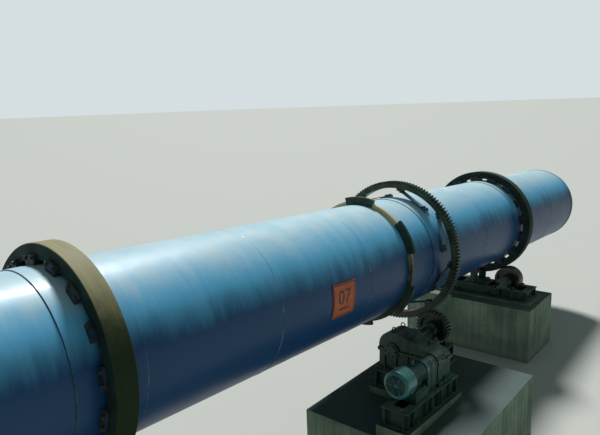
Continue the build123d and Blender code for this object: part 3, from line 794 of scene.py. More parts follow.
SLOT_FINISHES = {
    "shell_paint": "blue_shell_paint",
    "tyre_steel": "rolled_tyre_steel",
    "gear_steel": "greased_gear_casting",
    "flight_steel": "rusty_flight_plate",
    "sign_paint": "orange_sign_paint",
    "roller_steel": "turned_roller_steel",
    "machine_paint": "green_machine_paint",
    "motor_paint": "teal_motor_paint",
    "concrete": "pier_concrete",
}
NODE_FINISHES = {
    "tyre_pads_feed": "pad_paint",
    "tyre_pads_discharge": "pad_paint",
    "gear_spring_plates": "blue_plate_paint",
    "gear_shoes": "blue_plate_paint",
    "lug_ring": "lug_ring_paint",
    "roller_frame_feed": "green_frame_paint",
    "roller_frame_discharge": "green_frame_paint",
    "thrust_bracket": "green_frame_paint",
    "drive_frame": "green_frame_paint",
    "drive_pedestal": "oiled_and_shaded_concrete",
    # The pinion shaft takes the dark greased finish, partly as painted shade of the drum above it.
    "pinion_shaft": "greased_gear_casting",
}


# Settings
def light_colour(name, description, *default):
    return FloatVectorProperty(name=name, description=description, subtype="COLOR", default=default)


def paint_colour(name, *default):
    return light_colour(name, f"{name} of the dryer", *default)


def metres(name, description, default):
    return FloatProperty(name=name, description=description, default=default, unit="LENGTH")


def degrees(name, description, default):
    return FloatProperty(name=name, description=description, default=math.radians(default), subtype="ANGLE")


def amount(name, description, default):
    return FloatProperty(name=name, description=description, default=default)


class DryerColours(bpy.types.PropertyGroup):
    """Colours of the finishes, linear."""

    shell_blue: paint_colour("Shell blue", 0.112, 0.47, 0.78)
    # Deep blue is also the painted shade down the shell's sides; the sunlit and worn tone is the painted
    # sunlight on top and the pale edges.
    shell_deep: paint_colour("Shell deep blue", 0.010, 0.060, 0.165)
    shell_faded: paint_colour("Sunlit shell", 0.40, 0.61, 0.71)
    pad_navy: paint_colour("Pad navy", 0.006, 0.012, 0.022)
    dust: paint_colour("Dust", 0.55, 0.57, 0.52)
    dust_inside: paint_colour("Dust in the drum", 0.20, 0.17, 0.13)
    rust: paint_colour("Rust", 0.095, 0.045, 0.022)
    oil: paint_colour("Oil film", 0.010, 0.020, 0.014)
    grease: paint_colour("Grease", 0.017, 0.024, 0.013)
    # Oil and painted shade on the tops of the concrete.
    oil_sheen: paint_colour("Oil on concrete", 0.026, 0.058, 0.054)
    # On the tyres' tread, tan, rust and olive are spread as painted sunlight and shade.
    tyre_tan: paint_colour("Tread tan", 0.31, 0.285, 0.155)
    tyre_rust: paint_colour("Tread rust", 0.105, 0.112, 0.060)
    tyre_olive: paint_colour("Tread olive", 0.014, 0.030, 0.012)
    tyre_dark: paint_colour("Tyre side", 0.012, 0.026, 0.022)
    tyre_blue: paint_colour("Tyre side blue", 0.018, 0.044, 0.048)
    # Gear olive and machine green are kept very dark: partly their own colour, partly painted shade of the
    # drum over the gear and drive.
    gear_olive: paint_colour("Gear olive", 0.042, 0.082, 0.044)
    straw: paint_colour("Straw yellow", 0.50, 0.42, 0.22)
    machine_green: paint_colour("Machine green", 0.007, 0.042, 0.024)
    machine_teal: paint_colour("Faded machine green", 0.018, 0.12, 0.085)
    motor_teal: paint_colour("Motor teal", 0.010, 0.14, 0.14)
    motor_pale: paint_colour("Faded motor teal", 0.026, 0.26, 0.28)
    sign_orange: paint_colour("Sign orange", 0.55, 0.085, 0.018)
    sign_faded: paint_colour("Faded sign orange", 0.42, 0.10, 0.03)
    bare_steel: paint_colour("Bare steel", 0.16, 0.155, 0.135)
    bolt_grey: paint_colour("Bolt grey", 0.065, 0.068, 0.062)
    zinc: paint_colour("Zinc", 0.52, 0.54, 0.52)
    concrete_grey: paint_colour("Concrete", 0.086, 0.148, 0.106)
    concrete_pale: paint_colour("Pale concrete", 0.29, 0.37, 0.285)
    concrete_damp: paint_colour("Damp concrete", 0.046, 0.078, 0.054)


class DryerFittings(bpy.types.PropertyGroup):
    """Sizes of what is fastened to the machine."""

    plate_length: metres("Plate length", "Length of a rolled plate of the shell", 1.85)
    weld_width: metres("Weld width", "Width of a bead", 0.018)
    weld_height: metres("Weld height", "Rise of a bead", 0.0035)
    pad_bolt: metres("Pad bolt", "Bolt through a pad's lug", 0.022)
    plate_bolt: metres("Spring plate bolt", "Bolt of a spring plate", 0.024)
    anchor_bolt: metres("Anchor bolt", "Bolt that holds a frame down", 0.030)
    bearing_bolt: metres("Bearing bolt", "Bolt of a bearing", 0.024)
    case_bolt: metres("Case bolt", "Bolt of the reducer", 0.014)
    board_width: metres("Board width", "Width of a board of the concrete's form", 0.155)
    grille_pitch: metres("Grille pitch", "From ring to ring of the cowl's grille", 0.014)
    sign_number: StringProperty(name="Sign number", description="Number on the sign plate", default="07")
    coupling_bolts: IntProperty(name="Coupling bolts", description="Bolts of the slow coupling", default=10)


class DryerStage(bpy.types.PropertyGroup):
    """Floor, lights and camera."""

    camera_place: FloatVectorProperty(
        name="Camera", description="Where the camera stands", subtype="XYZ", unit="LENGTH",
        default=(-11.931, -4.961, 5.374),
    )
    camera_yaw: degrees("Yaw", "Turn of the view from downhill", 39.80)
    camera_pitch: degrees("Pitch", "How far the view looks down", 11.14)
    camera_roll: degrees("Roll", "Tilt of the view", -2.08)
    camera_lens: amount("Lens", "Focal length in mm", 34.25)
    camera_shift: amount("Shift", "Sideways shift of the picture", -0.010)
    key_way: FloatVectorProperty(
        name="Key light", description="Direction that the key light comes from", subtype="XYZ",
        default=(0.44, 0.40, 0.80),
    )
    key_strength: amount("Key strength", "Strength of the key light", 4.0)
    key_softness: degrees("Key softness", "Angle that the key light fills", 10)
    sky_strength: amount("Sky strength", "Strength of the light all round", 0.2)
    sky_colour: light_colour("Sky colour", "Colour of the light all round", 0.78, 0.99, 0.95)
    backdrop_colour: light_colour("Backdrop colour", "Colour of the backdrop to the camera", 0.88, 0.97, 1.0)
    backdrop_strength: amount("Backdrop strength", "Brightness of the backdrop to the camera", 0.76)
    floor_colour: light_colour("Floor colour", "Colour of the floor", 0.46, 0.47, 0.44)
    floor_size: metres("Floor size", "Side of the floor", 2400.0)


# Pieces
class DRYER_OT_finishes(bpy.types.Operator):
    """Give each carried-over node its finish"""

    bl_idname = "dryer.finishes"
    bl_label = "Finishes"

    def execute(self, context):
        for name, made in frame["nodes"].items():
            slot = made.data.materials[0].name.split(".")[0]
            made.material_slots[0].material = finish(NODE_FINISHES.get(name, SLOT_FINISHES[slot]))
        return {"FINISHED"}


class DRYER_OT_shell_welds(bpy.types.Operator):
    """Weld beads between the plates of the shell and at its raised courses"""

    bl_idname = "dryer.shell_welds"
    bl_label = "Shell welds"

    half_courses = {"tyre_feed": 0.335, "girth_gear": 0.320, "tyre_discharge": 0.335}
    lug_height = 0.126
    seam_angles = (math.radians(205), math.radians(248))
    bead_steps = 160

    def execute(self, context):
        sizes = context.scene.dryer_fittings
        shell_low, shell_high = extent("drum_shell")
        radius = extent("lug_ring")[1].y - self.lug_height
        edges = [shell_low.x]
        for name, half_course in self.half_courses.items():
            middle = halfway(*extent(name))[0]
            edges += [middle - half_course, middle + half_course]
        edges.append(shell_high.x)
        across = weld_profile(sizes.weld_width, sizes.weld_height)
        ring = tuple((radius + proud, place) for place, proud in (*across, across[0]))
        round_bead = lathe(ring, self.bead_steps)
        beads = []
        for stretch, (start, end) in enumerate(zip(edges[::2], edges[1::2])):
            plates = max(1, round((end - start) / sizes.plate_length))
            plate_length = (end - start) / plates
            for plate in range(plates):
                plate_start = start + plate * plate_length
                if plate:
                    beads.append((round_bead, [move(plate_start) @ DOWN_AXIS]))
                turn = about_drum(self.seam_angles[(plate + stretch) % 2])
                place = turn @ move(plate_start + sizes.weld_width / 2, radius) @ DOWN_AXIS
                beads.append((prism(across, plate_length - sizes.weld_width), [place]))
        piece("shell_weld_beads", "blue_shell_paint", beads, "drum")
        # The step beads take the near-black pad paint: a dark line that is partly weld and partly painted
        # shadow at the step.
        steps = [(round_bead, [move(edge) @ DOWN_AXIS for edge in edges[1:-1]])]
        piece("course_step_welds", "pad_paint", steps, "drum")
        return {"FINISHED"}


class DRYER_OT_pad_bolts(bpy.types.Operator):
    """Bolts through the lugs of the tyre pads"""

    bl_idname = "dryer.pad_bolts"
    bl_label = "Pad bolts"

    spread = 0.058
    depth = 0.026

    def execute(self, context):
        size = context.scene.dryer_fittings.pad_bolt
        for station in STATIONS:
            places = []
            for points in solids(f"tyre_pads_{station}"):
                middle = sum(points, Vector()) / len(points)
                lean = math.atan2(middle.z, middle.y)
                low, high = span(points, about_drum(-lean))
                for side, (x, turn) in product((-1, 1), ((low.x, UP_AXIS), (high.x, DOWN_AXIS))):
                    spot = move(x, high.y - self.depth, side * self.spread)
                    places.append(about_drum(lean) @ spot @ turn)
            fasteners(f"pad_bolts_{station}", [(bolt(size, 0.3 * size), places)], "drum")
        return {"FINISHED"}


class DRYER_OT_spring_plate_bolts(bpy.types.Operator):
    """Bolts that hold the spring plates to the shoes and to the gear's brackets"""

    bl_idname = "dryer.spring_plate_bolts"
    bl_label = "Spring plate bolts"

    edge = 0.030
    pitch = 0.055

    def execute(self, context):
        size = context.scene.dryer_fittings.plate_bolt
        places = []
        for points in solids("gear_spring_plates"):
            first, second = min(combinations(points, 2), key=lambda pair: (pair[0] - pair[1]).length)
            thin = first - second
            if thin.dot(Vector((0.0, *(sum(points, Vector()) / len(points)).yz))) < 0:
                thin = -thin
            lean = math.atan2(thin.z, thin.y)
            low, high = span(points, about_drum(-lean))
            for x, step in product((low.x + self.edge, high.x - self.edge), (0, 1)):
                inset = self.edge + step * self.pitch
                places.append(about_drum(lean) @ move(x, low.y, low.z + inset) @ FALLING)
                places.append(about_drum(lean) @ move(x, high.y, high.z - inset) @ RISING)
        fasteners("spring_plate_bolts", [(bolt(size), places)], "drum")
        return {"FINISHED"}


class DRYER_OT_sign(bpy.types.Operator):
    """Number, border and rivets on the sign plate"""

    bl_idname = "dryer.sign"
    bl_label = "Sign"

    figure_size = 0.27
    figure_rise = 0.03
    longest_edge = 0.03
    bar_length, bar_width = 0.19, 0.022
    bar_drop = 0.115
    relief = 0.0012
    border = 0.012
    border_steps = 24
    rivet = 0.014
    rivet_inset = 0.0312

    def figures(self, context):
        """Points and faces of the number, lying flat about its middle."""
        text = bpy.data.curves.new("sign_number", "FONT")
        text.body = context.scene.dryer_fittings.sign_number
        text.align_x = text.align_y = "CENTER"
        text.size = self.figure_size
        lettered = bpy.data.objects.new("sign_number", text)
        context.scene.collection.objects.link(lettered)
        context.view_layer.update()
        flat = bpy.data.meshes.new_from_object(lettered.evaluated_get(context.evaluated_depsgraph_get()))
        bpy.data.objects.remove(lettered)
        shape = bmesh.new()
        shape.from_mesh(flat)
        long_edges = [edge for edge in shape.edges if edge.calc_length() > self.longest_edge]
        bmesh.ops.subdivide_edges(shape, edges=long_edges, cuts=2)
        shape.verts.index_update()
        points = [(vert.co.x, vert.co.y + self.figure_rise) for vert in shape.verts]
        faces = [[vert.index for vert in face.verts] for face in shape.faces]
        shape.free()
        return points, faces

    def execute(self, context):
        low, high = extent("sign_plate")
        middle_x = (low.x + high.x) / 2
        half_length = (high.x - low.x) / 2
        plate = solids("sign_plate")[0]
        radius = max(point.yz.length for point in plate)
        angles = [math.atan2(point.z, point.y) for point in plate]
        middle_angle = (min(angles) + max(angles)) / 2
        half_width = radius * (max(angles) - min(angles)) / 2

        points, faces = self.figures(context)
        faces.append([len(points) + corner for corner in range(4)])
        for x, y in ((-1, -1), (1, -1), (1, 1), (-1, 1)):
            points.append((x * self.bar_length / 2, y * self.bar_width / 2 - self.bar_drop))
        outer_ends = (half_length - self.border, half_width - self.border)
        for side, axis in product((-1, 1), (0, 1)):
            outer, along = outer_ends[axis], outer_ends[1 - axis]
            start = len(points)
            for step in range(self.border_steps + 1):
                run = along * (2 * step / self.border_steps - 1)
                for reach in (side * outer, side * (outer - self.border)):
                    points.append((run, reach) if axis else (reach, run))
            for first in range(start, start + 2 * self.border_steps, 2):
                faces.append([first, first + 1, first + 3, first + 2])

        def laid(x, y, lift=0.0):
            """Place on the plate; x goes along the drum and y up round it."""
            return about_drum(middle_angle - y / radius) @ move(middle_x + x, radius + lift)

        data = bpy.data.meshes.new("sign")
        data.from_pydata([MACHINE @ laid(x, y, self.relief).translation for x, y in points], [], faces)
        made = dressed("sign_number_and_border", data, "stencil_black", "drum")
        solidify = made.modifiers.new("thickness", "SOLIDIFY")
        solidify.thickness = self.relief
        solidify.offset = 0.0

        head = disc(self.rivet / 2, 0.3 * self.rivet, easing=0.15 * self.rivet, steps=16)
        corners = product(both(0, half_length - self.rivet_inset), both(0, half_width - self.rivet_inset))
        places = [laid(x, y) @ RISING for x, y in corners]
        piece("sign_rivets", "bright_fasteners", [(head, places)], "drum")
        return {"FINISHED"}


class DRYER_OT_bearing_fittings(bpy.types.Operator):
    """Cap ears and bolts, foot bolts, end covers, seals and grease nipples of the bearings"""

    bl_idname = "dryer.bearing_fittings"
    bl_label = "Bearing fittings"

    foot_height = 0.045
    foot_bolt_inset = 0.030
    foot_bolt_spread = 0.030
    cap_bolt_spread = 0.021
    cap_bolt_shift = 0.004
    ear_length, ear_height, ear_width = 0.080, 0.052, 0.046
    ear_reach = 0.112
    cover_radius = 0.080
    cover_thickness = 0.012
    cover_bolts = 6
    cover_bolt_circle = 0.064
    boss_radius, boss_height = 0.034, 0.020
    seal_radius, seal_thickness = 0.084, 0.006
    journal = 0.0605
    nipple_sink = 0.002
    nipple = (
        (0, 0), (0.009, 0), (0.009, 0.008), (0.005, 0.010),
        (0.005, 0.016), (0.007, 0.019), (0.004, 0.024), (0, 0.024),
    )

    def execute(self, context):
        size = context.scene.dryer_fittings.bearing_bolt
        sets = []
        for station in STATIONS:
            axles = [AXLES[f"roller_{station}_{side}_spin"] for side in ("near", "far")]
            sets.append((station, f"bearings_{station}", axles))
        sets.append(("pinion", "pinion_bearings", [AXLES["pinion_spin"]]))
        ear = block(self.ear_length, self.ear_width, self.ear_height, rounding=0.006)
        cover = disc(self.cover_radius, self.cover_thickness, easing=0.004)
        boss = disc(self.boss_radius, self.boss_height, easing=0.006)
        seal = disc(self.seal_radius, self.seal_thickness, hole=self.journal)
        nipple = lathe(self.nipple, 12)
        ring = around(self.cover_bolts, self.cover_bolt_circle, self.cover_thickness, shift=0.5)
        for station, node_name, axles in sets:
            castings, hex_bolts, small, nipples = [], [], [], []
            bearings = solid_boxes(node_name)
            station_middle = sum(halfway(*box)[0] for box in bearings) / len(bearings)
            for low, high in bearings:
                axle = min(axles, key=lambda place: abs(place.z - (low.z + high.z) / 2))
                x = (low.x + high.x) / 2
                ear_top, ear_foot = axle.y + self.ear_height / 2, axle.y - self.ear_height / 2
                for side, foot_z in ((-1, low.z + self.foot_bolt_inset), (1, high.z - self.foot_bolt_inset)):
                    ear_z = axle.z + side * self.ear_reach
                    bolt_z = ear_z + side * self.cap_bolt_shift
                    castings.append((ear, standing([x], ear_foot, [ear_z])))
                    hex_bolts += standing(both(x, self.cap_bolt_spread), ear_top, [bolt_z])
                    hex_bolts += standing(both(x, self.foot_bolt_spread), low.y + self.foot_height, [foot_z])
                    for bolt_x in both(x, self.cap_bolt_spread):
                        hex_bolts.append(move(bolt_x, ear_foot, bolt_z) @ FALLING)
                uphill = x < station_middle
                faces = ends(low, high, axle)
                outer_face, inner_face = faces if uphill else reversed(faces)
                castings.append((seal, [inner_face]))
                if station == "pinion" and uphill:
                    castings.append((seal, [outer_face]))
                else:
                    castings += [(cover, [outer_face]), (boss, [outer_face])]
                    small += on_each([outer_face], ring)
                nipples.append(move(x, high.y - self.nipple_sink, axle.z) @ RISING)
            casting(f"bearing_castings_{station}", castings)
            parts = [(bolt(size), hex_bolts), (bolt(0.4 * size), small), (nipple, nipples)]
            fasteners(f"bearing_bolts_{station}", parts)
        return {"FINISHED"}


class DRYER_OT_roller_fittings(bpy.types.Operator):
    """Locking rings on the roller shafts, and caps on the thrust rollers"""

    bl_idname = "dryer.roller_fittings"
    bl_label = "Roller fittings"

    ring_radius = 0.108
    ring_thickness = 0.024
    screw = 0.012
    screw_circle = 0.092
    shaft = 0.0755
    cap_bolt = 0.020
    cap_radius = 0.058
    cap_thickness = 0.010

    def execute(self, context):
        ring = disc(self.ring_radius, self.ring_thickness, easing=0.004, hole=self.shaft)
        for station, side in product(STATIONS, ("near", "far")):
            axle = AXLES[f"roller_{station}_{side}_spin"]
            rings = ends(*extent(f"roller_{station}_{side}"), axle)
            screws = on_each(rings, around(6, self.screw_circle, self.ring_thickness))
            parts = [(ring, rings), (bolt(self.screw), screws)]
            name = f"roller_locking_rings_{station}_{side}"
            piece(name, "turned_roller_steel", parts, f"roller_set_{station}_{side}")
        cap = disc(self.cap_radius, self.cap_thickness, easing=0.003)
        for side in ("uphill", "downhill"):
            axle = AXLES[f"thrust_{side}_spin"]
            place = move(axle.x, extent(f"thrust_roller_{side}")[1].y, axle.z) @ RISING
            parts = [(cap, [place]), (bolt(self.cap_bolt), [place @ move(z=self.cap_thickness)])]
            piece(f"thrust_cap_{side}", "turned_roller_steel", parts, f"thrust_{side}")
        return {"FINISHED"}


class DRYER_OT_roller_frame_fittings(bpy.types.Operator):
    """Stiffeners, anchor bolts and the bearings' adjusting screws on the roller frames"""

    bl_idname = "dryer.roller_frame_fittings"
    bl_label = "Roller frame fittings"

    beam_offset = 0.260
    flange = 0.016
    web = 0.012
    half_flange = 0.075
    plate_gap = 0.004
    stiffener = 0.010
    stiffener_spread = 0.085
    anchor_inset = 0.040
    anchor_places = (-1.06, -0.34, 0.34, 1.06)
    stop_length, stop_depth, stop_height = 0.070, 0.034, 0.056
    stop_gap = 0.040
    screw, screw_stud = 0.022, 0.035
    screw_height = 0.0336
    rod_radius = 0.011

    def execute(self, context):
        size = context.scene.dryer_fittings.anchor_bolt
        plate_width = self.half_flange - self.web / 2 - self.plate_gap
        plate_reach = (self.web + plate_width) / 2
        stop = block(self.stop_length, self.stop_depth, self.stop_height, rounding=0.004)
        rod = disc(self.rod_radius, self.stop_gap + 0.3 * self.stop_depth, steps=14)
        for station in STATIONS:
            low, high = extent(f"roller_frame_{station}")
            middle = (low.x + high.x) / 2
            foot = low.y + self.flange
            stiffener = block(plate_width, self.stiffener, high.y - low.y - 2 * self.flange)
            plates, anchors, stops, screws = [], [], [], []
            for beam_x in both(middle, self.beam_offset):
                for box_low, box_high in solid_boxes(f"bearings_{station}"):
                    if abs((box_low.x + box_high.x) / 2 - beam_x) > self.half_flange:
                        continue
                    plate_z = both((box_low.z + box_high.z) / 2, self.stiffener_spread)
                    plates += standing(both(beam_x, plate_reach), foot, plate_z)
                    for foot_z, side, turn in ((box_low.z, -1, INWARD), (box_high.z, 1, OUTWARD)):
                        stop_z = foot_z + side * self.stop_gap
                        stops += standing([beam_x], high.y, [stop_z])
                        face_z = stop_z + side * self.stop_depth / 2
                        screws.append(move(beam_x, high.y + self.screw_height, face_z) @ turn)
                anchors += standing(both(beam_x, self.anchor_inset), foot, self.anchor_places)
            steel = [(stiffener, plates), (stop, stops)]
            piece(f"frame_stiffeners_{station}", "green_frame_paint", steel)
            rods = on_each(screws, [INWARD @ move(z=0.4 * self.stop_depth)])
            screw = bolt(self.screw, self.screw_stud)
            parts = [(bolt(size, 1.2 * size), anchors), (screw, screws), (rod, rods)]
            fasteners(f"frame_bolts_{station}", parts)
        return {"FINISHED"}


class DRYER_OT_drive_frame_fittings(bpy.types.Operator):
    """Stiffeners and anchor bolts of the drive frame, and bolts of the thrust bracket"""

    bl_idname = "dryer.drive_frame_fittings"
    bl_label = "Drive frame fittings"

    flange = 0.018
    web = 0.012
    half_beam = 0.060
    plate_gap = 0.004
    stiffener, stiffener_gap = 0.012, 0.001
    pitch = 0.42
    anchor_inset = 0.036
    anchor_shift = 0.09
    end_space = 0.20
    motor_spread = 0.140
    pinion_spread = 0.200
    bracket_plate = 0.025
    bracket_inset = 0.04

    def execute(self, context):
        size = context.scene.dryer_fittings.anchor_bolt
        low, high = extent("drive_frame")
        case_low, case_high = extent("reducer_case")
        foot = low.y + self.flange
        plate_width = self.half_beam - self.web / 2 - self.plate_gap
        plate_reach = (self.web + plate_width) / 2
        plate_height = case_low.y - low.y - 2 * self.flange - self.stiffener_gap
        stiffener = block(self.stiffener, plate_width, plate_height)
        plates, anchors = [], []
        runs = (
            (low.x, case_high.x, centre("fan_cowl").z, self.motor_spread),
            (case_low.x, high.x, AXLES["pinion_spin"].z, self.pinion_spread),
        )
        for start, end, middle_z, spread in runs:
            count = max(2, round((end - start - 2 * self.end_space) / self.pitch) + 1)
            xs = spaced(start + self.end_space, end - self.end_space, count)
            anchor_xs = [x + self.anchor_shift for x in xs]
            for beam_z in both(middle_z, spread):
                plates += standing(xs, foot, both(beam_z, plate_reach))
                anchors += standing(anchor_xs, foot, both(beam_z, self.anchor_inset))
        piece("drive_frame_stiffeners", "green_frame_paint", [(stiffener, plates)])
        low, high = extent("thrust_bracket")
        bolt_x = (low.x + self.bracket_inset, high.x - self.bracket_inset)
        bolt_z = (low.z + self.bracket_inset, high.z - self.bracket_inset)
        plate_bolts = standing(bolt_x, low.y + self.bracket_plate, bolt_z)
        parts = [(bolt(0.8 * size, size), anchors), (bolt(0.7 * size), plate_bolts)]
        fasteners("drive_frame_bolts", parts)
        return {"FINISHED"}


class DRYER_OT_reducer_fittings(bpy.types.Operator):
    """Flange, cap and foot bolts, inspection cover, breather, lifting eyes, sight glass and plug"""

    bl_idname = "dryer.reducer_fittings"
    bl_label = "Reducer fittings"

    flange = 0.020
    flange_reach = 0.022
    foot = 0.036
    foot_reach = 0.045
    pitch = 0.112
    boss_clear = (0.150, 0.105)
    cover_rise = 0.060
    cover_radii = (0.225, 0.110)
    hatch_length, hatch_width, hatch_thickness = 0.210, 0.150, 0.012
    hatch_bolt_x, hatch_bolt_y = 0.085, 0.057
    seat_rim, seat_height = 0.030, 0.006
    eye_inset = 0.06
    eye_radius, eye_bar, eye_foot = 0.034, 0.016, 0.026
    eye_rise, eye_sink = 0.030, 0.004
    gauge_drop = 0.130
    gauge_radius, glass_radius = 0.034, 0.021
    plug_rise = 0.030
    hatch_share, breather_share = 0.42, 0.72
    breather = (
        (0, 0), (0.013, 0), (0.013, 0.030), (0.026, 0.034), (0.028, 0.040),
        (0.028, 0.062), (0.020, 0.070), (0, 0.072),
    )

    def flange_bolts(self, slow, fast, wall_x, wall_z):
        """Places round the joint of case and cover, above and below it, clear of the shaft bosses."""
        out = self.flange_reach / 2
        (start_x, end_x), (start_z, end_z) = wall_x, wall_z
        clear = [
            z for z in spaced(start_z, end_z, round((end_z - start_z) / self.pitch) + 1)
            if all(abs(z - axle.z) > space for axle, space in zip((slow, fast), self.boss_clear))
        ]
        rims = [
            *product((start_x - out, end_x + out), clear),
            *product(shared(start_x, end_x, 4), (start_z - out, end_z + out)),
        ]
        above = [move(x, slow.y + self.flange, z) @ RISING for x, z in rims]
        return above + [move(x, slow.y - self.flange, z) @ FALLING for x, z in rims]

    def execute(self, context):
        size = context.scene.dryer_fittings.case_bolt
        low, high = extent("reducer_case")
        slow = AXLES["pinion_spin"]
        fast = centre("fan_cowl")
        wall_x = (low.x + self.foot_reach, high.x - self.foot_reach)
        wall_z = (low.z + self.foot_reach, high.z - self.foot_reach)
        middle_x = (low.x + high.x) / 2
        case_bolts = self.flange_bolts(slow, fast, wall_x, wall_z)
        for cap_low, cap_high in solid_boxes("reducer_caps"):
            uphill = cap_high.x < middle_x
            face_x, turn = (cap_low.x, UP_AXIS) if uphill else (cap_high.x, DOWN_AXIS)
            spot = (cap_low + cap_high) / 2
            face = move(face_x, spot.y, spot.z) @ turn
            case_bolts += on_each([face], around(6, 0.8 * (cap_high.z - cap_low.z) / 2))
        foot_x = (low.x + self.foot_reach / 2, high.x - self.foot_reach / 2)
        foot_bolts = standing(foot_x, low.y + self.foot, shared(*wall_z, 4))

        big, small = self.cover_radii
        slow_centre = Vector((slow.z, slow.y + self.cover_rise))
        fast_centre = Vector((fast.z, fast.y))
        way = fast_centre - slow_centre
        lean = math.atan2(way.y, way.x) + math.acos((big - small) / way.length)
        normal = Vector((math.cos(lean), math.sin(lean)))
        start = slow_centre + big * normal
        end = fast_centre + small * normal
        slope = math.atan2(normal.x, normal.y)

        def on_cover(share):
            """Place on the cover's sloping top, its z outward, its x downhill."""
            spot = start.lerp(end, share)
            return move(middle_x, spot.y, spot.x) @ Matrix.Rotation(slope, 4, "X") @ RISING

        hatch_place = on_cover(self.hatch_share)
        hatch = block(self.hatch_length, self.hatch_width, self.hatch_thickness, rounding=0.003)
        seat = block(self.hatch_length + self.seat_rim, self.hatch_width + self.seat_rim, self.seat_height)
        xs = spaced(*both(0, self.hatch_bolt_x), 3)
        hatch_bolts = [move(x, y, self.hatch_thickness) for x, y in product(xs, both(0, self.hatch_bolt_y))]
        crown_y = slow.y + self.cover_rise + big
        eye_x = (wall_x[0] + self.eye_inset, wall_x[1] - self.eye_inset)
        eyes = [move(x, crown_y + self.eye_rise, slow.z) @ DOWN_AXIS for x in eye_x]
        eyes.append(move(middle_x, fast.y + 0.5 * small, fast.z + small + self.eye_bar) @ DOWN_AXIS)
        eye_feet = standing(eye_x, crown_y - self.eye_sink, [slow.z])
        gauge_place = move(wall_x[0], slow.y - self.gauge_drop, (slow.z + fast.z) / 2) @ UP_AXIS
        castings = [
            (hatch, [hatch_place]),
            (seat, [hatch_place]),
            (torus(self.eye_radius, self.eye_bar), eyes),
            (disc(self.eye_foot, 0.010), eye_feet),
            (disc(self.gauge_radius, 0.014, easing=0.004, hole=self.glass_radius), [gauge_place]),
        ]
        casting("reducer_castings", castings)
        glass = [(disc(self.glass_radius, 0.008), [gauge_place])]
        piece("reducer_sight_glass", "oil_glass", glass)
        parts = [
            (bolt(size), case_bolts),
            (bolt(1.6 * size, 2.0 * size), foot_bolts),
            (bolt(0.8 * size), on_each([hatch_place], hatch_bolts)),
            (bolt(1.8 * size), [move(middle_x, low.y + self.foot + self.plug_rise, wall_z[1]) @ OUTWARD]),
            (lathe(self.breather, 20), [on_cover(self.breather_share)]),
        ]
        fasteners("reducer_bolts", parts)
        return {"FINISHED"}


class DRYER_OT_motor_fittings(bpy.types.Operator):
    """Feet bolts, shield bolts, lifting eye and terminal box lid of the motor"""

    bl_idname = "dryer.motor_fittings"
    bl_label = "Motor fittings"

    foot_height = 0.024
    foot_bolt_x, foot_bolt_z = 0.118, 0.112
    foot_bolt, foot_stud = 0.018, 0.020
    shield_bolt, lid_screw = 0.011, 0.008
    shield_bolt_circle = 0.126
    fin_top = 0.138
    eye_radius, eye_bar, eye_foot = 0.026, 0.012, 0.022
    gland_drop, gland_inset = 0.055, 0.050
    lid_length, lid_width, lid_thickness = 0.158, 0.118, 0.010
    lid_screw_x, lid_screw_y = 0.068, 0.048
    gland = (0, 0), (0.018, 0), (0.018, 0.012), (0.013, 0.016), (0.013, 0.034), (0, 0.034)

    def execute(self, context):
        low, high = extent("motor")
        axis = centre("fan_cowl")
        middle_x = (extent("fan_cowl")[1].x + high.x) / 2
        foot_x, foot_z = both(middle_x, self.foot_bolt_x), both(axis.z, self.foot_bolt_z)
        foot_bolts = standing(foot_x, low.y + self.foot_height, foot_z)
        shield = ends(low, high, axis)[1]
        shield_bolts = on_each([shield], around(6, self.shield_bolt_circle, shift=0.5))
        fin_y = axis.y + self.fin_top
        box_place = move(middle_x, axis.y, low.z) @ INWARD
        lid_spots = product(both(0, self.lid_screw_x), both(0, self.lid_screw_y), [self.lid_thickness])
        lid_screws = on_each([box_place], [move(*spot) for spot in lid_spots])
        gland_place = move(middle_x, axis.y - self.gland_drop, low.z + self.gland_inset) @ FALLING
        shell = [
            (torus(self.eye_radius, self.eye_bar), [move(middle_x, fin_y + self.eye_radius, axis.z)]),
            (disc(self.eye_foot, self.eye_bar), standing([middle_x], fin_y - self.eye_bar / 2, [axis.z])),
            (block(self.lid_length, self.lid_width, self.lid_thickness, rounding=0.003), [box_place]),
            (lathe(self.gland, 16), [gland_place]),
        ]
        piece("motor_eye_and_lid", "teal_motor_paint", shell)
        parts = [
            (bolt(self.foot_bolt, self.foot_stud), foot_bolts),
            (bolt(self.shield_bolt), shield_bolts),
            (bolt(self.lid_screw), lid_screws),
        ]
        fasteners("motor_bolts", parts)
        return {"FINISHED"}


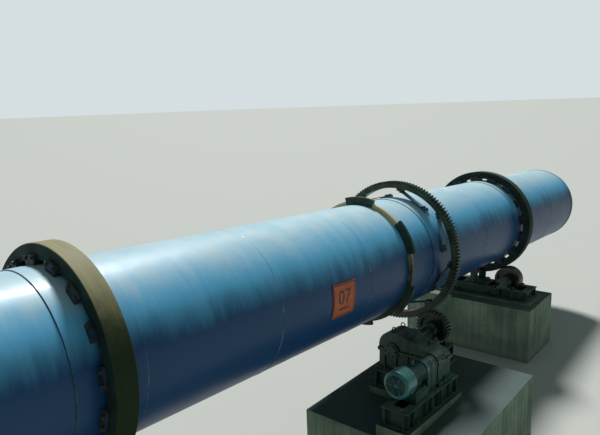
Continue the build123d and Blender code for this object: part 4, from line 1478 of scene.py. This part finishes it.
class DRYER_OT_cowl_grille(bpy.types.Operator):
    """Ring grille over the fan opening, with the rim and hub of the cowl"""

    bl_idname = "dryer.cowl_grille"
    bl_label = "Cowl grille"

    dish_radius = 0.138
    dish_depth = 0.014
    dark_radius, dark_thickness = 0.136, 0.001
    grille_depth = 0.005
    wire = 0.005
    hub, hub_thickness = 0.030, 0.010
    spokes = 6
    rim_radius, rim_bar = 0.158, 0.008
    screw = 0.010
    screw_inset = 0.025

    def execute(self, context):
        pitch = context.scene.dryer_fittings.grille_pitch
        low, high = extent("fan_cowl")
        middle = halfway(low, high)
        face = move(low.x, *middle[1:]) @ UP_AXIS
        # A black disc at the bottom of the dish, a painted shade for the dark inside of the cowl.
        dark = disc(self.dark_radius, self.dark_thickness, easing=0.0002, steps=48)
        floor = face @ move(z=self.dark_thickness / 2 - self.dish_depth)
        piece("fan_opening_shade", "painted_shade_recess", [(dark, [floor])])
        level = face @ move(z=-self.grille_depth)
        rings = range(1, int((self.dish_radius - self.hub) / pitch) + 1)
        parts = [(torus(self.hub + number * pitch, self.wire, 56, 8), [level]) for number in rings]
        spoke = block(self.dish_radius - self.hub, self.wire * 1.4, self.wire, rounding=0.001)
        turns = around(self.spokes, (self.dish_radius + self.hub) / 2)
        parts += [
            (spoke, on_each([level], turns)),
            (disc(self.hub, self.hub_thickness, easing=0.004), [level]),
            (torus(self.rim_radius, self.rim_bar, 64, 10), [face]),
        ]
        piece("cowl_grille", "teal_motor_paint", parts)
        spot = move(high.x - self.screw_inset, *middle[1:])
        outward = move(y=(high.y - low.y) / 2) @ RISING
        screws = [spot @ Matrix.Rotation(QUARTER * (number + 0.5), 4, "X") @ outward for number in range(4)]
        piece("cowl_screws", "bright_fasteners", [(bolt(self.screw), screws)])
        return {"FINISHED"}


class DRYER_OT_coupling_fittings(bpy.types.Operator):
    """Bands of the coupling guard, bolts of the slow coupling and the pinion's keeper rings"""

    bl_idname = "dryer.coupling_fittings"
    bl_label = "Coupling fittings"

    band = 0.028
    band_rise, band_sink = 0.005, 0.002
    band_steps = 24
    band_inset = 0.004
    coupling_bolt, coupling_stud = 0.018, 0.006
    bolt_circle = 0.124
    flange_place = 0.125
    flange_half = 0.045
    keeper_radius, keeper_thickness = 0.096, 0.012
    keeper_screw, keeper_circle = 0.012, 0.079
    shaft = 0.0605

    def execute(self, context):
        low, high = extent("coupling_guard")
        radius = (high.z - low.z) / 2
        axis_y = high.y - radius
        hoop = []
        for reach, way in ((radius + self.band_rise, 1), (radius - self.band_sink, -1)):
            turns = spaced(0, math.pi, self.band_steps + 1)
            arc = [(reach * math.cos(turn), reach * math.sin(turn)) for turn in turns]
            hoop += [(arc[0][0], low.y - axis_y), *arc, (arc[-1][0], low.y - axis_y)][::way]
        stand = Matrix(((0, 0, 1, 0), (0, 1, 0, 0), (-1, 0, 0, 0), (0, 0, 0, 1)))
        last_x = high.x - self.band - self.band_inset
        bands = [
            move(x, axis_y, (low.z + high.z) / 2) @ stand
            for x in (low.x + self.band_inset, (low.x + high.x - self.band) / 2, last_x)
        ]
        casting("guard_bands", [(prism(tuple(hoop), self.band), bands)])

        axle = AXLES["pinion_spin"]
        coupling_x = extent("low_speed_coupling")[1].x - self.flange_place
        sides = (
            move(coupling_x - self.flange_half, axle.y, axle.z) @ UP_AXIS,
            move(coupling_x + self.flange_half, axle.y, axle.z) @ DOWN_AXIS,
        )
        ring = around(context.scene.dryer_fittings.coupling_bolts, self.bolt_circle)
        heads = [(bolt(self.coupling_bolt, self.coupling_stud), on_each(sides, ring))]
        fasteners("slow_coupling_bolts", heads, "pinion_line")
        rings = ends(*extent("pinion"), axle)
        screws = on_each(rings, around(4, self.keeper_circle, self.keeper_thickness))
        keeper = disc(self.keeper_radius, self.keeper_thickness, hole=self.shaft)
        parts = [(keeper, rings), (bolt(self.keeper_screw), screws)]
        fasteners("pinion_keepers", parts, "pinion_line")
        return {"FINISHED"}


class DRYER_OT_cast_piers(bpy.types.Operator):
    """Concrete as its form left it: boards at uneven depths, fins at their joints, a line between pours"""

    bl_idname = "dryer.cast_piers"
    bl_label = "Cast piers"

    inset = 0.005
    board_rise = (0.0005, 0.0038)
    board_spread = 0.618034
    board_easing, fin_easing = 0.0004, 0.001
    fin_width, fin_drop = 0.005, 0.004
    pour_height, tall_share = 0.62, 1.3
    line_depth = 0.009
    top_margin = 0.014
    foot_gap = 0.001
    same_plane = 1e-4

    def execute(self, context):
        width = context.scene.dryer_fittings.board_width
        for name in ("pier_feed", "pier_discharge", "drive_pedestal"):
            core = frame["nodes"][name].data.copy()
            low, high = span([vert.co for vert in core.vertices])
            top = max(vert.co.z for vert in core.vertices if abs(vert.co.x - low.x) < self.same_plane)
            sides = [(axis, corner[axis], way) for axis in (0, 1) for corner, way in ((low, 1), (high, -1))]
            for vert, (axis, limit, inward) in product(core.vertices, sides):
                if abs(vert.co[axis] - limit) < self.same_plane:
                    vert.co[axis] = limit + inward * self.inset
            parts = [(core, [move()])]
            for axis, limit, inward in sides:
                place = [0.0, 0.0, 0.0]
                place[axis] = limit + inward * self.inset
                face = move(*place) @ Matrix.Rotation(QUARTER * axis, 4, "Z")
                parts += self.boards(face, axis, limit, low, high, top, width)
            cast = NODE_FINISHES.get(name, "pier_concrete")
            made = piece(f"cast_{name}", cast, parts, basis=Matrix())
            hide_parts(name)
        return {"FINISHED"}

    def boards(self, face, axis, limit, low, high, top, width):
        """Boards, fins and the pour line of one side; the seams lie where the finish has them."""
        start, end = low[1 - axis], high[1 - axis]
        turned = 1 if axis == 0 else -1
        shallow, deep = self.board_rise
        parts = []
        for board in range(math.floor((start + limit) / width), math.ceil((end + limit) / width)):
            near = max(start + self.inset, board * width - limit)
            far = min(end - self.inset, (board + 1) * width - limit)
            if far - near < self.fin_width:
                continue
            depth = shallow + (deep - shallow) * ((board * self.board_spread) % 1.0)
            cast = block(2 * depth, far - near - self.foot_gap, top - self.top_margin, self.board_easing)
            parts.append((cast, [face @ move(0, turned * (near + far) / 2, self.foot_gap)]))
            if near > start + self.inset:
                fin_height = top - self.top_margin - self.fin_drop
                fin = block(2 * self.inset, self.fin_width, fin_height, self.fin_easing)
                parts.append((fin, [face @ move(0, turned * near, self.foot_gap)]))
        if top > self.tall_share * self.pour_height:
            reach = end - start - 2 * self.inset
            line = block(self.line_depth, reach, self.fin_width, self.fin_easing)
            parts.append((line, [face @ move(0, turned * (start + end) / 2, self.pour_height)]))
        return parts


class DRYER_OT_stage(bpy.types.Operator):
    """Floor, lights and camera"""

    bl_idname = "dryer.stage"
    bl_label = "Stage"

    floor_gap = 0.001

    def execute(self, context):
        stage = context.scene.dryer_stage
        sheet = bmesh.new()
        bmesh.ops.create_grid(sheet, x_segments=8, y_segments=8, size=stage.floor_size / 2)
        floor = bpy.data.objects.new("studio_floor", finished_mesh("studio_floor", sheet))
        floor.data.materials.append(finish("pale_floor"))
        floor.location = (0.0, 0.0, cad_low.z - self.floor_gap)

        key = bpy.data.lights.new("key", "SUN")
        key.energy = stage.key_strength
        key.angle = stage.key_softness
        lamp = bpy.data.objects.new("key", key)
        lamp.rotation_euler = Vector(stage.key_way).to_track_quat("Z", "Y").to_euler()

        world = bpy.data.worlds.new("studio")
        world.use_nodes = True
        tree = world.node_tree
        seen = node(tree, "LightPath", out="Is Camera Ray")
        tint = blend(seen, (*stage.sky_colour, 1.0), (*stage.backdrop_colour, 1.0))
        strength = rise(seen, 0.0, 1.0, stage.sky_strength, stage.backdrop_strength)
        background = tree.nodes["Background"]
        tree.links.new(tint.socket, background.inputs["Color"])
        tree.links.new(strength.socket, background.inputs["Strength"])
        context.scene.world = world
        context.scene.view_settings.view_transform = "Standard"

        yaw, pitch, roll = stage.camera_yaw, stage.camera_pitch, stage.camera_roll
        ahead = Vector((math.cos(yaw) * math.cos(pitch), math.sin(yaw) * math.cos(pitch), -math.sin(pitch)))
        level = Vector((math.sin(yaw), -math.cos(yaw), 0.0))
        upright = level.cross(ahead)
        right = math.cos(roll) * level + math.sin(roll) * upright
        top = -math.sin(roll) * level + math.cos(roll) * upright
        camera = bpy.data.objects.new("camera", bpy.data.cameras.new("camera"))
        camera.data.lens = stage.camera_lens
        camera.data.shift_x = stage.camera_shift
        camera.data.clip_end = stage.floor_size
        axes = Matrix((right, top, -ahead)).transposed().to_4x4()
        camera.matrix_world = Matrix.Translation(stage.camera_place) @ axes
        context.scene.camera = camera
        for made in (floor, lamp, camera):
            context.scene.collection.objects.link(made)
        return {"FINISHED"}


STEPS = (
    DRYER_OT_finishes,
    DRYER_OT_shell_welds,
    DRYER_OT_pad_bolts,
    DRYER_OT_spring_plate_bolts,
    DRYER_OT_sign,
    DRYER_OT_bearing_fittings,
    DRYER_OT_roller_fittings,
    DRYER_OT_roller_frame_fittings,
    DRYER_OT_drive_frame_fittings,
    DRYER_OT_reducer_fittings,
    DRYER_OT_motor_fittings,
    DRYER_OT_cowl_grille,
    DRYER_OT_coupling_fittings,
    DRYER_OT_cast_piers,
    DRYER_OT_stage,
)
SETTINGS = {"dryer_colours": DryerColours, "dryer_fittings": DryerFittings, "dryer_stage": DryerStage}


class DRYER_PT_panel(bpy.types.Panel):
    """Lists the dryer's steps and settings"""

    bl_label = "Drum dryer"
    bl_idname = "DRYER_PT_panel"
    bl_space_type = "VIEW_3D"
    bl_region_type = "UI"
    bl_category = "Dryer"

    def draw(self, context):
        for step in STEPS:
            self.layout.operator(step.bl_idname)
        for group_name, settings in SETTINGS.items():
            column = self.layout.column()
            for name in settings.__annotations__:
                column.prop(getattr(context.scene, group_name), name)


def register():
    for made in (*SETTINGS.values(), *STEPS, DRYER_PT_panel):
        bpy.utils.register_class(made)
    for name, settings in SETTINGS.items():
        setattr(bpy.types.Scene, name, PointerProperty(type=settings))


def unregister():
    for name in SETTINGS:
        delattr(bpy.types.Scene, name)
    for made in (DRYER_PT_panel, *reversed(STEPS), *SETTINGS.values()):
        bpy.utils.unregister_class(made)


def main():
    register()
    for step in STEPS:
        area, name = step.bl_idname.split(".")
        getattr(getattr(bpy.ops, area), name)()


if __name__ == "__main__":
    main()
